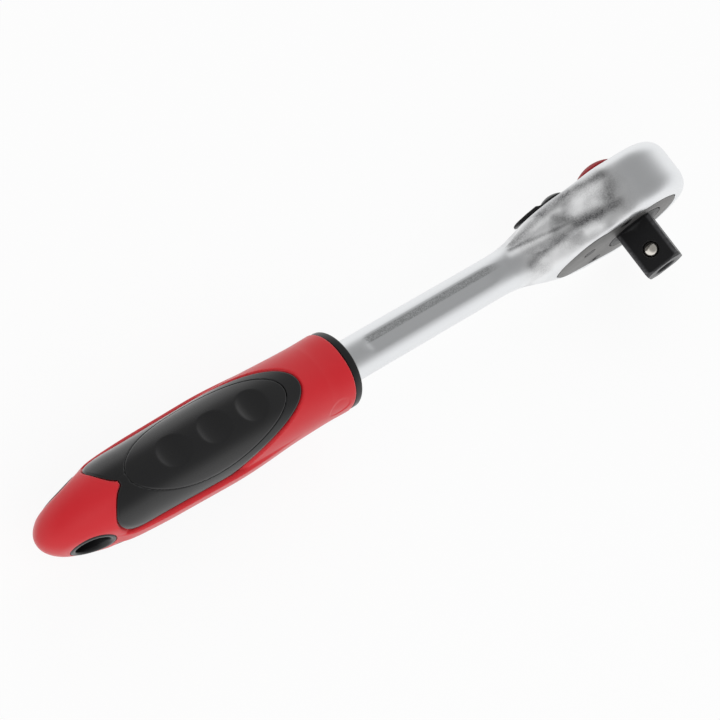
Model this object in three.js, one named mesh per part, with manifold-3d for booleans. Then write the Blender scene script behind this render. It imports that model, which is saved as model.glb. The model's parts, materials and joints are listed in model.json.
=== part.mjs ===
import * as THREE from 'three';
import { mergeVertices } from 'three/addons/utils/BufferGeometryUtils.js';
import Module from 'manifold-3d';

// Reversible ratchet with a 12.7 mm square drive, lying on its side.
// Millimetres. +X runs along the handle to the head, the drive points to -Y, +Z is up.
// Inside the tool group X and Z are measured from the drive axis, Y from the handle's axis.

const wasm = await Module();
wasm.setup();

const turn = Math.PI * 2;
const radians = THREE.MathUtils.degToRad;

// Clearances
const fitGap = 0.3;
const slideGap = 0.25;
const ballGap = 0.15;
const meshGap = 0.35;
const cutPast = 1;

// Square drive and gear
const driveSquare = 12.7;
const driveLength = 16.2;
const driveCornerRadius = 0.9;
const driveTurn = radians(-42);
const driveFlare = 1.6;
const driveFlareSteps = 3;
const tipChamferRise = 1.6;
const tipChamferDepth = 1.5;
const tipRecessRadius = 3.3;
const tipRecessDepth = 1.6;
const hubLedge = 1.1;
const gearShoulder = 3.6;
const gearTeeth = 72;
const toothHeight = 0.9;

// Quick release
const ballRadius = 2.5;
const ballDrop = 9.7;
const ballProud = 1.2;
const buttonRadius = 6.9;
const buttonRise = 4.9;
const buttonCap = 2.5;
const buttonFlange = 0.6;
const buttonFlangeHeight = 1.3;
const buttonTravel = 2.6;
const rodRadius = 2.2;
const rodWaist = 1.2;
const rodWaistHalf = 0.8;
const rodSocketDepth = 3;
const rodTail = 1;
const counterboreDepth = 11.6;
const upperHubWall = 1.5;
const upperHubSink = 0.4;
const ringThickness = 0.7;
const ringSink = 0.9;
const ringBite = 0.35;
const ringOpening = radians(20);
const springWire = 0.45;
const springTurns = 4;

// Cover plate and its screws
const plateFace = 9;
const plateThickness = 1.8;
const plateLap = 2.4;
const plateTailReach = 20;
const plateTailRadius = 13.2;
const screwReach = 11.5;
const screwEdge = 0.5;
const screwHeadRadius = 2.1;
const screwHeadDepth = 1.1;
const screwRadius = 1.25;
const screwLength = 6.5;
const screwSocketRadius = 0.9;
const screwSocketDepth = 0.7;

// Reversing pawl, shaft and lever
const pawlFaceGap = 0.65;
const pawlWall = 0.7;
const pawlBackWall = 0.8;
const pawlRock = radians(8);
const pawlHorn = 2.6;
const pawlFirstFlank = 5;
const pawlLastFlank = 13;
const pinRadius = 1;
const pinSeat = 3;
const reverserRadius = 2.4;
const reverserClear = 0.55;
const journalRadius = 1.9;
const spigotRadius = 1.9;
const spigotHeight = 1.2;
const leverThrow = radians(28);
const leverHubRadius = 4.4;
const leverHubHeight = 2.2;
const leverReach = 14.4;
const leverWidth = 7.4;
const leverPlate = 0.8;
const leverPadHeight = 1.5;
const leverPadStart = 4.8;
const leverPadCrest = 1.5;
const leverNeckWidth = 5.9;
const leverTipRadius = 3.1;
const plungerRadius = 0.9;
const plungerLength = 2.2;
const plungerCap = 0.45;
const plungerSpringRoom = 2.2;
const plungerSpringWire = 0.16;
const plungerSpringTurns = 3;
const sealWire = 0.3;
const sealGroove = 0.6;
const sealDrop = 3.2;

// Forged head, neck, shank and tang
const backFace = 11;
const webThickness = 7.5;
const headWall = 6.1;
const headRim = 1.5;
const headBandLow = 3;
const headBandHigh = 5;
const headShoulder = 5.5;
const shankRadius = 6.6;
const shankStart = 56;
const neckLength = 50;
const flatDepth = 0.65;
const flatHalfWidth = 3.1;
const flatMargin = 6;
const scoopLength = 17;
const scoopHeight = 5.6;
const scoopWidth = 7;
const scoopDepth = 1.7;
const scoopFlank = 0.43;
const scoopRise = 0.5;
const tangRadius = 5.6;
const tangLength = 66;
const tangSink = 4;
const tangStep = 1;

// Handle
const collarStart = 122.8;
const collarWidth = 2.6;
const collarRadius = 12.3;
const skinWall = 2.6;
const frontRadius = 12.4;
const waistAt = 9;
const waistHalfHeight = 12.25;
const waistHalfWidth = 12.5;
const swellAt = 35;
const swellHalfHeight = 12.65;
const swellHalfWidth = 15.4;
const rearAt = 76;
const rearHalfHeight = 11.9;
const rearHalfWidth = 14.7;
const domeLength = 30.4;
const sectionPower = 2.2;
const spineRise = 1.05;
const spineStart = 24;
const spineEnd = 98;
const panelStart = 17;
const panelEnd = 87.7;
const panelNotch = 4.9;
const panelNotchHalf = 0.8;
const panelFrontBulge = 6.2;
const panelFrontRun = 11;
const panelFrontHalf = 11.6;
const panelShoulder = 52;
const panelLobeHalf = 7.8;
const panelFloor = 3.2;
const panelPast = 0.4;
const panelTaperFrom = 4;
const insetMargin = 6.2;
const insetTail = 7.7;
const insetHalfWidth = 10.8;
const dimplePitch = 14.55;
const dimpleCentre = 49.7;
const dimpleDepth = 1.2;
const dimpleRound = 13;
const dimpleFlat = 22;
const hangHoleRadius = 4.9;
const hangRimWall = 1.6;
const hangFromEnd = 13.2;
const hangDishDepth = 1.3;
const hangDishRadius = 10.5;
const hangRimProud = 0.15;

// Sizes that follow from the ones above
const driveHalf = driveSquare / 2;
const driveCornerReach = (driveHalf - driveCornerRadius) * Math.SQRT2 + driveCornerRadius;
const driveTip = plateFace + driveLength;
const hubRadius = driveCornerReach + hubLedge;
const gearRadius = hubRadius + gearShoulder;
const gearRoot = gearRadius - toothHeight;
const pocketRadius = gearRadius + fitGap;
const plateRadius = pocketRadius + plateLap;
const headRadius = plateRadius + headWall;
const plateInner = plateFace - plateThickness;
const gearLow = -plateInner + fitGap;
const pocketFloor = backFace - webThickness;
const gearHigh = pocketFloor - fitGap;

const flangeRadius = buttonRadius + buttonFlange;
const counterboreRadius = flangeRadius + slideGap;
const upperHubRadius = counterboreRadius + upperHubWall;
const upperHubTop = backFace - upperHubSink;
const counterboreFloor = upperHubTop - counterboreDepth;
const ringCentre = upperHubTop - ringSink;
const ringInner = buttonRadius + slideGap;
const ringOuter = counterboreRadius + ringBite;
const flangeTop = ringCentre - ringThickness / 2 - fitGap;
const flangeLow = flangeTop - buttonFlangeHeight;
const buttonTop = backFace + buttonRise;
const rodTop = flangeLow + rodSocketDepth;
const ballY = -plateFace - ballDrop;
const ballReach = driveHalf + ballProud - ballRadius;
const rodEnd = ballY - rodTail;
const rodBoreRadius = rodRadius + slideGap;

const pinBore = pinRadius + slideGap;
const pawlFace = gearRadius + pawlFaceGap;
const pinX = -(pawlFace + pawlWall + pinBore);
const pawlBack = pinX - pinBore - pawlBackWall;
const leverX = pawlBack - reverserClear - reverserRadius;
const leverLow = backFace + fitGap;
const plungerTip = pawlBack - leverX - fitGap;
const plungerBase = plungerTip - plungerLength;

const shankEnd = collarStart + collarWidth;
const tangStart = shankEnd + tangSink;
const tangEnd = shankEnd + tangLength;
const skinFront = shankEnd + fitGap;
const buttEnd = skinFront + rearAt + domeLength;
const hangX = -(buttEnd - hangFromEnd);
const hangRimRadius = hangHoleRadius + hangRimWall;

// Materials
const finish = (color, roughness, metalness) =>
  new THREE.MeshStandardMaterial({ color, roughness, metalness });
const chrome = finish(0xc9cbcc, 0.28, 0.95);
const plateGrey = finish(0x55534f, 0.5, 0.7);
const blackOxide = finish(0x1b1b1d, 0.45, 0.6);
const steel = finish(0xb9b7b2, 0.3, 0.9);
const redPlastic = finish(0xb01f24, 0.45, 0);
const redGrip = finish(0xc5262d, 0.6, 0);
const blackGrip = finish(0x232325, 0.5, 0);
const blackPlastic = finish(0x1a1a1b, 0.45, 0);
const leverBlack = finish(0x121213, 0.35, 0.4);
const rubber = finish(0x151515, 0.8, 0);

// A closed solid from a three.js geometry, with its faces turned outward
function solid(geometry) {
  const bare = geometry.clone();
  bare.deleteAttribute('normal');
  bare.deleteAttribute('uv');
  const merged = mergeVertices(bare);
  const points = merged.attributes.position.array;
  const corners = [];
  let volume = 0;
  for (let i = 0; i < merged.index.count; i += 3) {
    const [a, b, c] = [0, 1, 2].map((k) => merged.index.getX(i + k));
    if (a === b || b === c || c === a) continue;
    corners.push(a, b, c);
    const [p, q, r] = [a, b, c].map((k) => new THREE.Vector3().fromArray(points, k * 3));
    volume += p.dot(q.cross(r));
  }
  if (volume < 0) corners.reverse();
  const mesh = new wasm.Mesh({
    numProp: 3,
    vertProperties: Float32Array.from(points),
    triVerts: Uint32Array.from(corners),
  });
  return new wasm.Manifold(mesh);
}

const union = (first, ...rest) => rest.reduce((all, one) => all.add(one), first);
const cut = (first, ...rest) => rest.reduce((all, one) => all.subtract(one), first);

// A named mesh from a solid
function piece(name, body, material) {
  const { vertProperties, triVerts } = body.getMesh();
  const geometry = new THREE.BufferGeometry();
  geometry.setAttribute('position', new THREE.BufferAttribute(vertProperties, 3));
  geometry.setIndex(new THREE.BufferAttribute(triVerts, 1));
  geometry.computeVertexNormals();
  const mesh = new THREE.Mesh(geometry, material);
  mesh.name = name;
  return mesh;
}

// A shape drawn in X and Z, extruded along Y between two heights
function slab(shape, low, high, curveSegments = 12) {
  const depth = high - low;
  const geometry = new THREE.ExtrudeGeometry(shape, { depth, bevelEnabled: false, curveSegments });
  return solid(geometry.rotateX(Math.PI / 2).translate(0, high, 0));
}

// A shape drawn in X and Y, extruded along Z between two heights
function block(shape, low, high, curveSegments = 12) {
  const depth = high - low;
  const geometry = new THREE.ExtrudeGeometry(shape, { depth, bevelEnabled: false, curveSegments });
  return solid(geometry.translate(0, 0, low));
}

// A profile of radius and height turned about a line along Y
function turned(profile, segments, x = 0, z = 0) {
  const points = profile.map(([r, y]) => new THREE.Vector2(r, y));
  return solid(new THREE.LatheGeometry(points, segments).translate(x, 0, z));
}

const rod = (radius, low, high, segments, x = 0, z = 0) =>
  turned([[0, low], [radius, low], [radius, high], [0, high]], segments, x, z);

const polygon = (points) => new THREE.Shape(points.map(([x, y]) => new THREE.Vector2(x, y)));
const mirrored = (points) => [...points, ...points.map(([x, z]) => [x, -z]).reverse()];

// A round plate that narrows to a smaller round tail towards the handle
function pear(radius, reach, tailRadius) {
  const lean = Math.asin((radius - tailRadius) / reach);
  const shape = new THREE.Shape();
  shape.absarc(0, 0, radius, -Math.PI / 2 - lean, Math.PI / 2 + lean);
  shape.absarc(-reach, 0, tailRadius, Math.PI / 2 + lean, Math.PI * 1.5 - lean);
  return shape;
}

// A skin through rings of points along X, closed at both ends
function loft(rings) {
  const around = rings[0].length;
  const positions = rings.flat(2);
  const index = [];
  rings.slice(1).forEach((ring, i) => ring.forEach((point, j) => {
    const a = i * around + j;
    const b = i * around + ((j + 1) % around);
    index.push(a, b, b + around, a, b + around, a + around);
  }));
  const last = (rings.length - 1) * around;
  for (let j = 1; j < around - 1; j += 1) {
    index.push(0, j + 1, j, last, last + j, last + j + 1);
  }
  const geometry = new THREE.BufferGeometry();
  geometry.setAttribute('position', new THREE.Float32BufferAttribute(positions, 3));
  geometry.setIndex(index);
  return solid(geometry);
}

// A rounded oval ring of points across X
function ring(x, top, bottom, halfWidth, power, count) {
  const bend = (value) => Math.sign(value) * Math.abs(value) ** (2 / power);
  return Array.from({ length: count }, (_, i) => {
    const angle = ((i + 0.5) / count) * turn;
    const up = bend(Math.cos(angle));
    return [x, up * (up > 0 ? top : bottom), halfWidth * bend(Math.sin(angle))];
  });
}

// A coil of round wire about a line along Y
function coil(radius, wire, low, high, turns) {
  const sides = 6;
  const steps = turns * 14;
  const rise = high - low - 2 * wire;
  const rings = Array.from({ length: steps + 1 }, (_, i) => {
    const angle = (i / steps) * turns * turn;
    const y = low + wire + (i / steps) * rise;
    return Array.from({ length: sides }, (__, j) => {
      const side = (j / sides) * turn;
      const out = radius + wire * Math.cos(side);
      return [out * Math.cos(angle), y + wire * Math.sin(side), out * Math.sin(angle)];
    });
  });
  return loft(rings);
}

const turnY = (body, angle) => body.rotate([0, THREE.MathUtils.radToDeg(angle), 0]);

// Drive gear: toothed ring, hubs and the square in one piece
function driveGear() {
  const teeth = Array.from({ length: gearTeeth * 2 }, (_, i) => {
    const angle = (i / (gearTeeth * 2)) * turn;
    const radius = i % 2 ? gearRadius : gearRoot;
    return [radius * Math.cos(angle), radius * Math.sin(angle)];
  });
  const band = slab(polygon(teeth), gearLow, gearHigh);
  const flare = Array.from({ length: driveFlareSteps + 1 }, (_, i) => {
    const angle = ((i / driveFlareSteps) * Math.PI) / 2;
    const out = driveHalf + (driveCornerReach - driveHalf) * (1 - Math.cos(angle));
    return [out, -plateFace - driveFlare * (1 - Math.sin(angle))];
  });
  const hubs = turned([
    [0, -plateFace - driveFlare],
    ...flare,
    [hubRadius, -plateFace],
    [hubRadius, gearLow],
    [gearRoot - toothHeight, gearLow],
    [gearRoot - toothHeight, gearHigh],
    [upperHubRadius, gearHigh],
    [upperHubRadius, upperHubTop],
    [0, upperHubTop],
  ], 40);
  const inner = driveHalf - driveCornerRadius;
  const square = new THREE.Shape();
  [0, 1, 2, 3].forEach((quarter) => {
    const start = (quarter * Math.PI) / 2;
    const x = inner * (quarter === 0 || quarter === 3 ? 1 : -1);
    const z = inner * (quarter < 2 ? 1 : -1);
    square.absarc(x, z, driveCornerRadius, start, start + Math.PI / 2);
  });
  const tipCone = turned([
    [0, -driveTip],
    [driveCornerReach - tipChamferDepth, -driveTip],
    [driveCornerReach + fitGap, -driveTip + tipChamferRise],
    [driveCornerReach + fitGap, gearLow],
    [0, gearLow],
  ], 40);
  const shank = slab(square, -driveTip, gearLow, 3).intersect(tipCone);
  const rodRoom = rodEnd - buttonTravel - fitGap;
  const grooveHalf = ringThickness / 2 + fitGap / 2;
  const bore = turned([
    [0, rodRoom],
    [rodBoreRadius, rodRoom],
    [rodBoreRadius, counterboreFloor],
    [counterboreRadius, counterboreFloor],
    [counterboreRadius, ringCentre - grooveHalf],
    [ringOuter + slideGap, ringCentre - grooveHalf],
    [ringOuter + slideGap, ringCentre + grooveHalf],
    [counterboreRadius, ringCentre + grooveHalf],
    [counterboreRadius, upperHubTop + cutPast],
    [0, upperHubTop + cutPast],
  ], 32);
  const ballBore = solid(
    new THREE.CylinderGeometry(ballRadius + ballGap, ballRadius + ballGap, driveSquare, 24)
      .rotateX(Math.PI / 2).translate(0, ballY, driveHalf),
  );
  const recess = rod(tipRecessRadius, -driveTip - cutPast, -driveTip + tipRecessDepth, 28);
  const end = turnY(cut(shank, ballBore), driveTurn);
  return cut(union(band, hubs, end), bore, turnY(ballBore, driveTurn), recess);
}

// Ball that holds a socket on the square
function detentBall() {
  const ball = new THREE.SphereGeometry(ballRadius, 18, 12).translate(0, ballY, ballReach);
  return turnY(solid(ball), driveTurn);
}

// Rod that backs the ball, with a waist that lets it in when the button is pressed
function releaseRod() {
  const waist = ballY + buttonTravel;
  return turned([
    [0, rodEnd],
    [rodRadius, rodEnd],
    [rodRadius, waist - buttonTravel],
    [rodWaist, waist - rodWaistHalf],
    [rodWaist, waist + rodWaistHalf],
    [rodRadius, waist + buttonTravel],
    [rodRadius, rodTop - slideGap],
    [0, rodTop - slideGap],
  ], 20);
}

// Profile of a round dome from its edge up to its top
function dome(radius, rise, top, steps) {
  const curve = (radius ** 2 + rise ** 2) / (2 * rise);
  const widest = Math.asin(radius / curve);
  const points = Array.from({ length: steps + 1 }, (_, i) => {
    const angle = widest * (1 - i / steps);
    return [curve * Math.sin(angle), top - curve * (1 - Math.cos(angle))];
  });
  points[steps] = [0, top];
  return points;
}

// Domed push button with a flange under the snap ring
function releaseButton() {
  return turned([
    [0, rodTop],
    [rodBoreRadius, rodTop],
    [rodBoreRadius, flangeLow],
    [flangeRadius, flangeLow],
    [flangeRadius, flangeTop],
    [buttonRadius, flangeTop],
    ...dome(buttonRadius, buttonCap, buttonTop, 5),
  ], 32);
}

function snapRing() {
  const open = ringOpening / 2;
  const shape = new THREE.Shape();
  shape.absarc(0, 0, ringOuter, open, turn - open);
  shape.absarc(0, 0, ringInner, turn - open, open, true);
  return slab(shape, ringCentre - ringThickness / 2, ringCentre + ringThickness / 2, 16);
}

// Where a flat-headed screw stands in the cover plate
const screwLean = (plateRadius - plateTailRadius) / plateTailReach;
const screwInset = plateRadius - screwEdge - screwHeadRadius;
const screwX = -screwReach;
const screwZ = (screwInset - screwLean * screwReach) / Math.sqrt(1 - screwLean ** 2);

const screwProfile = (gap) => [
  [0, -plateFace - gap],
  [screwHeadRadius + gap, -plateFace - gap],
  [screwHeadRadius + gap, -plateFace + gap],
  [screwRadius + gap, -plateFace + screwHeadDepth + gap],
  [screwRadius + gap, -plateFace + screwLength + gap],
  [0, -plateFace + screwLength + gap],
];

function coverScrew(side) {
  const body = turned(screwProfile(0), 20, screwX, side * screwZ);
  const low = -plateFace - cutPast;
  const socket = rod(screwSocketRadius, low, -plateFace + screwSocketDepth, 6, screwX, side * screwZ);
  return cut(body, socket);
}

const screwHoles = () => [1, -1].map((side) => turned(screwProfile(fitGap / 2), 20, screwX, side * screwZ));

function coverPlate() {
  const sheet = slab(pear(plateRadius, plateTailReach, plateTailRadius), -plateFace, -plateInner, 14);
  const hubHole = rod(hubRadius + fitGap, -plateFace - cutPast, -plateInner + cutPast, 40);
  const journalRoom = journalRadius + slideGap;
  const journalHole = rod(journalRoom, -plateFace - cutPast, -plateInner + cutPast, 20, leverX);
  return cut(sheet, hubHole, journalHole, ...screwHoles());
}

// Pawl that rocks on its pin, with a toothed horn at each end
const aboutPin = ([x, z], angle) => {
  const [cos, sin] = [Math.cos(angle), Math.sin(angle)];
  return [pinX + (x - pinX) * cos + z * sin, z * cos - (x - pinX) * sin];
};
const fromNeck = (radius, angle) => [-radius * Math.cos(angle), radius * Math.sin(angle)];
const flank = Math.PI / gearTeeth;
const hornTip = fromNeck(gearRadius + meshGap + pawlHorn, pawlLastFlank * flank);

function pawl() {
  const teeth = [];
  for (let i = pawlFirstFlank; i <= pawlLastFlank; i += 1) {
    const radius = (i % 2 ? gearRadius : gearRoot) + meshGap;
    teeth.push(aboutPin(fromNeck(radius, i * flank), -pawlRock));
  }
  const saddle = pawlBack - leverX;
  const saddleHalf = saddle / 2;
  const half = [
    fromNeck(pawlFace, flank),
    fromNeck(pawlFace, (pawlFirstFlank - 1.5) * flank),
    ...teeth,
    aboutPin(hornTip, -pawlRock),
    [pawlBack + reverserClear / 2, saddleHalf * 3],
    [leverX + Math.sqrt(saddle ** 2 - saddleHalf ** 2), saddleHalf],
    [leverX + Math.sqrt(saddle ** 2 - (saddleHalf / 2) ** 2), saddleHalf / 2],
  ];
  const low = gearLow + slideGap;
  const high = gearHigh - slideGap;
  const blank = slab(polygon(mirrored(half)), low, high);
  const bored = cut(blank, rod(pinBore, low - cutPast, high + cutPast, 20, pinX));
  const atPin = bored.translate([-pinX, 0, 0]);
  return turnY(atPin, pawlRock).translate([pinX, 0, 0]);
}

const pawlPin = () => rod(pinRadius, gearLow, pocketFloor + pinSeat, 20, pinX);

// Reversing shaft with its lever, built pointing to the handle and then thrown to one side
const thrown = (body) => turnY(body, -leverThrow).translate([leverX, 0, 0]);
const sealY = backFace - sealDrop;

function reverserShaft() {
  const spigotTop = leverLow + spigotHeight;
  const body = turned([
    [0, -plateFace],
    [journalRadius, -plateFace],
    [journalRadius, gearLow],
    [reverserRadius, gearLow],
    [reverserRadius, sealY - sealWire - slideGap / 2],
    [reverserRadius - sealGroove, sealY - sealWire - slideGap / 2],
    [reverserRadius - sealGroove, sealY + sealWire + slideGap / 2],
    [reverserRadius, sealY + sealWire + slideGap / 2],
    [reverserRadius, backFace],
    [spigotRadius, backFace],
    [spigotRadius, spigotTop],
    [0, spigotTop],
  ], 24);
  const depth = reverserRadius + plungerSpringRoom - plungerBase;
  const bore = new THREE.CylinderGeometry(plungerRadius + ballGap, plungerRadius + ballGap, depth, 16);
  bore.rotateZ(Math.PI / 2).translate(reverserRadius - depth / 2 + fitGap, plungerY, 0);
  return thrown(cut(body, solid(bore)));
}

const plungerY = (gearLow + gearHigh) / 2;

function reverserPlunger() {
  const pin = turned([
    [0, plungerBase],
    [plungerRadius, plungerBase],
    ...dome(plungerRadius, plungerCap, plungerTip, 3),
  ], 20);
  return thrown(pin.rotate([0, 0, -90]).translate([0, plungerY, 0]));
}

function reverserSpring() {
  const low = plungerBase - plungerSpringRoom + 2 * fitGap;
  const radius = plungerRadius - plungerSpringWire * 2;
  const wound = coil(radius, plungerSpringWire, low, plungerBase - slideGap, plungerSpringTurns);
  return thrown(wound.rotate([0, 0, -90]).translate([0, plungerY, 0]));
}

function reverserSeal() {
  const radius = reverserRadius - sealGroove + ballGap + sealWire;
  const hoop = new THREE.TorusGeometry(radius, sealWire, 6, 24).rotateX(Math.PI / 2);
  return thrown(solid(hoop.translate(0, sealY, 0)));
}

function reversingLever() {
  const hubTop = leverLow + leverHubHeight;
  const hub = turned([
    [0, leverLow],
    [leverHubRadius, leverLow],
    ...dome(leverHubRadius, leverHubHeight - leverPlate, hubTop, 3),
  ], 28);
  const side = polygon([
    [0, leverLow],
    [-leverReach, leverLow],
    [-leverReach, leverLow + leverPlate],
    [-leverPadStart - leverPadCrest, leverLow + leverPadHeight],
    [-leverPadStart, leverLow + leverPadHeight],
    [-leverPadStart + leverPadHeight - leverPlate, leverLow + leverPlate],
    [0, leverLow + leverPlate],
  ]);
  const plan = new THREE.Shape();
  plan.moveTo(0, -leverNeckWidth / 2);
  plan.lineTo(0, leverNeckWidth / 2);
  plan.lineTo(-leverPadStart, leverWidth / 2);
  plan.absarc(-leverReach + leverTipRadius, 0, leverTipRadius, Math.PI / 2, Math.PI * 1.5);
  plan.lineTo(-leverPadStart, -leverWidth / 2);
  const arm = block(side, -leverWidth, leverWidth).intersect(slab(plan, leverLow, hubTop, 8));
  const socket = rod(spigotRadius + ballGap, leverLow - cutPast, leverLow + spigotHeight + ballGap, 24);
  return thrown(cut(union(hub, arm), socket));
}

// How far the neck has grown from the shank towards the head, by share of its length:
// the back, the plate side, the width, and how square the section is
const neckShape = [
  [0, 0, 0, 0, 2],
  [0.12, 0.045, 0.1, 0.025, 2.1],
  [0.24, 0.3, 0.62, 0.12, 2.3],
  [0.38, 0.725, 1.1, 0.28, 2.7],
  [0.52, 0.95, 1.67, 0.45, 3.2],
  [0.66, 1, 2, 0.62, 4],
  [0.86, 1, 1.75, 0.82, 5],
  [1, 0.95, 1, 0.86, 5],
];

// Forging: barrel-sided head, flaring neck, round shank and the tang inside the handle
function ratchetBody() {
  const rimRadius = plateRadius + headRim;
  const steps = 4;
  const quarter = Array.from({ length: steps + 1 }, (_, i) => ((i / steps) * Math.PI) / 2);
  const plateEdge = quarter.map((angle) => [
    rimRadius + (headRadius - rimRadius) * Math.sin(angle),
    -headBandLow - (plateFace - headBandLow) * Math.cos(angle),
  ]);
  const backEdge = quarter.map((angle) => [
    headRadius - headShoulder * (1 - Math.cos(angle)),
    headBandHigh + (backFace - headBandHigh) * Math.sin(angle),
  ]);
  const head = turned([[0, -plateFace], ...plateEdge, ...backEdge, [0, backFace]], 48);
  const neck = neckShape.map(([share, back, plate, width, power]) => [
    shankStart - neckLength * share,
    shankRadius + (backFace - shankRadius) * back,
    shankRadius + (plateFace - shankRadius) * plate,
    shankRadius + (headRadius - shankRadius) * width,
    power,
  ]);
  const stem = [
    [tangEnd, tangRadius, tangRadius, tangRadius, 2],
    [tangStart + tangStep, tangRadius, tangRadius, tangRadius, 2],
    [tangStart, shankRadius, shankRadius, shankRadius, 2],
  ];
  const rings = [...stem, ...neck].map(([x, top, bottom, width, power]) =>
    ring(-x, top, bottom, width, power, 28));
  const faces = polygon([
    [-tangEnd - cutPast, -plateFace],
    [headRadius + cutPast, -plateFace],
    [headRadius + cutPast, backFace],
    [-tangEnd - cutPast, backFace],
  ]);
  const between = block(faces, -headRadius - cutPast, headRadius + cutPast);
  const forging = union(head, loft(rings)).intersect(between);
  return cut(forging, ...sideFlats(), ...scoops(), ...pockets());
}

// Long milled flats on both sides of the shank
function sideFlats() {
  const from = -(collarStart - flatMargin) + flatHalfWidth;
  const to = -shankStart;
  const shape = new THREE.Shape();
  shape.absarc(from, 0, flatHalfWidth, Math.PI / 2, Math.PI * 1.5);
  shape.absarc(to, 0, flatHalfWidth, -Math.PI / 2, Math.PI / 2);
  const floor = shankRadius - flatDepth;
  const outside = shankRadius + cutPast;
  return [block(shape, floor, outside, 6), block(shape, -outside, -floor, 6)];
}

// Hollows forged into both flanks of the neck
function scoops() {
  const middle = shankStart - neckLength / 2;
  const flankWidth = shankRadius + (headRadius - shankRadius) * scoopFlank;
  const slope = Math.atan2(headRadius - shankRadius, neckLength);
  return [1, -1].map((side) => {
    const bowl = new THREE.SphereGeometry(1, 24, 14).scale(scoopLength, scoopHeight, scoopWidth);
    bowl.rotateY(-side * slope);
    return solid(bowl.translate(-middle, scoopRise, side * (flankWidth + scoopWidth - scoopDepth)));
  });
}

// Room for the plate, gear, pawl, shaft and screws
function pockets() {
  const below = -plateFace - cutPast;
  const plateSeat = pear(plateRadius + fitGap, plateTailReach, plateTailRadius + fitGap);
  const hornReach = Math.hypot(hornTip[0] - pinX, hornTip[1]) + fitGap;
  const pawlRoom = polygon(mirrored([
    [-pocketRadius / 2, hornReach],
    [pinX - pawlHorn / 4, hornReach],
    [leverX, reverserRadius + fitGap],
  ]));
  const inner = -plateInner;
  return [
    slab(plateSeat, below, inner, 14),
    rod(pocketRadius, below, pocketFloor, 48),
    slab(pawlRoom, below, pocketFloor),
    rod(reverserRadius + fitGap, below, backFace + cutPast, 24, leverX),
    rod(pinBore, below, pocketFloor + pinSeat + fitGap, 20, pinX),
    rod(upperHubRadius + fitGap, below, backFace + cutPast, 40),
    ...screwHoles(),
  ];
}

// Handle: smooth oval body with a rounded butt, drawn smaller by an inset
const handleCurve = new THREE.SplineCurve([
  new THREE.Vector2(frontRadius, frontRadius),
  new THREE.Vector2(waistHalfHeight, waistHalfWidth),
  new THREE.Vector2(swellHalfHeight, swellHalfWidth),
  new THREE.Vector2(rearHalfHeight, rearHalfWidth),
]);
const handleKnots = [0, waistAt, swellAt, rearAt];

function handleHalf(along) {
  const span = handleKnots.findIndex((knot, i) => i > 0 && along <= knot);
  const from = handleKnots[span - 1];
  const share = (along - from) / (handleKnots[span] - from);
  return handleCurve.getPoint((span - 1 + share) / (handleKnots.length - 1));
}

function handleForm(inset, front, around, steps, rise = 0) {
  const rings = [];
  const add = (x, high, wide) => rings.push(ring(x, high, high, wide, sectionPower, around));
  const start = -front - skinFront;
  for (let i = 0; i <= steps; i += 1) {
    const along = Math.max(0, start + (i / steps) * (rearAt - start));
    const half = handleHalf(along);
    add(-skinFront - start - (i / steps) * (rearAt - start), half.x - inset + rise, half.y - inset);
  }
  const domeSteps = Math.round(steps / 2);
  for (let i = 1; i < domeSteps; i += 1) {
    const angle = (i / domeSteps) * (Math.PI / 2);
    const shrink = Math.cos(angle);
    const x = -skinFront - rearAt - (domeLength - inset) * Math.sin(angle);
    add(x, (rearHalfHeight - inset + rise) * shrink, (rearHalfWidth - inset) * shrink);
  }
  const tip = [-skinFront - rearAt - domeLength + inset, 0, 0];
  rings.push(rings[0].map(() => tip));
  return loft(rings);
}

const handleX = (along) => -skinFront - along;
const hangCylinder = (radius) => rod(radius, -2 * swellHalfHeight, 2 * swellHalfHeight, 28, hangX);

// Where the hang hole meets the rounded butt, and how the surface leans there
const hangAngle = Math.asin((domeLength - hangFromEnd) / domeLength);
const hangHalf = rearHalfHeight * Math.cos(hangAngle);
const hangLean = Math.atan2(Math.sin(hangAngle) * rearHalfHeight, Math.cos(hangAngle) * domeLength);

// Shallow dishes round both ends of the hang hole, square to the surface
function hangDishes(lift) {
  const radius = (hangDishRadius ** 2 + hangDishDepth ** 2) / (2 * hangDishDepth);
  const out = radius - hangDishDepth + lift;
  const x = hangX - out * Math.sin(hangLean);
  const y = hangHalf + out * Math.cos(hangLean);
  return [1, -1].map((side) => solid(new THREE.SphereGeometry(radius, 36, 24).translate(x, side * y, 0)));
}

// Outline of the grip window in X and Y, drawn smaller by an inset
function panelOutline(inset) {
  const half = swellHalfHeight + panelPast - inset;
  const lobe = panelLobeHalf - inset;
  const bulge = panelFrontBulge - inset;
  const turnHalf = panelFrontHalf - inset;
  const front = handleX(panelStart + inset);
  const back = handleX(panelEnd - inset);
  const notch = handleX(panelEnd - panelNotch - inset);
  const bend = handleX(panelStart + panelFrontRun);
  const shoulder = handleX(panelShoulder);
  const tail = handleX(rearAt - panelTaperFrom);
  const tailHalf = handleHalf(rearAt - panelTaperFrom).x + panelPast - inset;
  const shape = new THREE.Shape();
  shape.moveTo(front, 0);
  shape.bezierCurveTo(front, bulge, bend, turnHalf, shoulder, half);
  shape.lineTo(tail, tailHalf);
  shape.quadraticCurveTo(back, tailHalf, back, lobe);
  shape.lineTo(notch, panelNotchHalf);
  shape.lineTo(notch, -panelNotchHalf);
  shape.lineTo(back, -lobe);
  shape.quadraticCurveTo(back, -tailHalf, tail, -tailHalf);
  shape.lineTo(shoulder, -half);
  shape.bezierCurveTo(bend, -turnHalf, front, -bulge, front, 0);
  return shape;
}

function insetOutline(grow) {
  const from = handleX(panelStart + insetMargin);
  const to = handleX(panelEnd - insetTail);
  const shape = new THREE.Shape();
  shape.absellipse((from + to) / 2, 0, (from - to) / 2 + grow, insetHalfWidth + grow, 0, turn);
  return shape;
}

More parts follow.
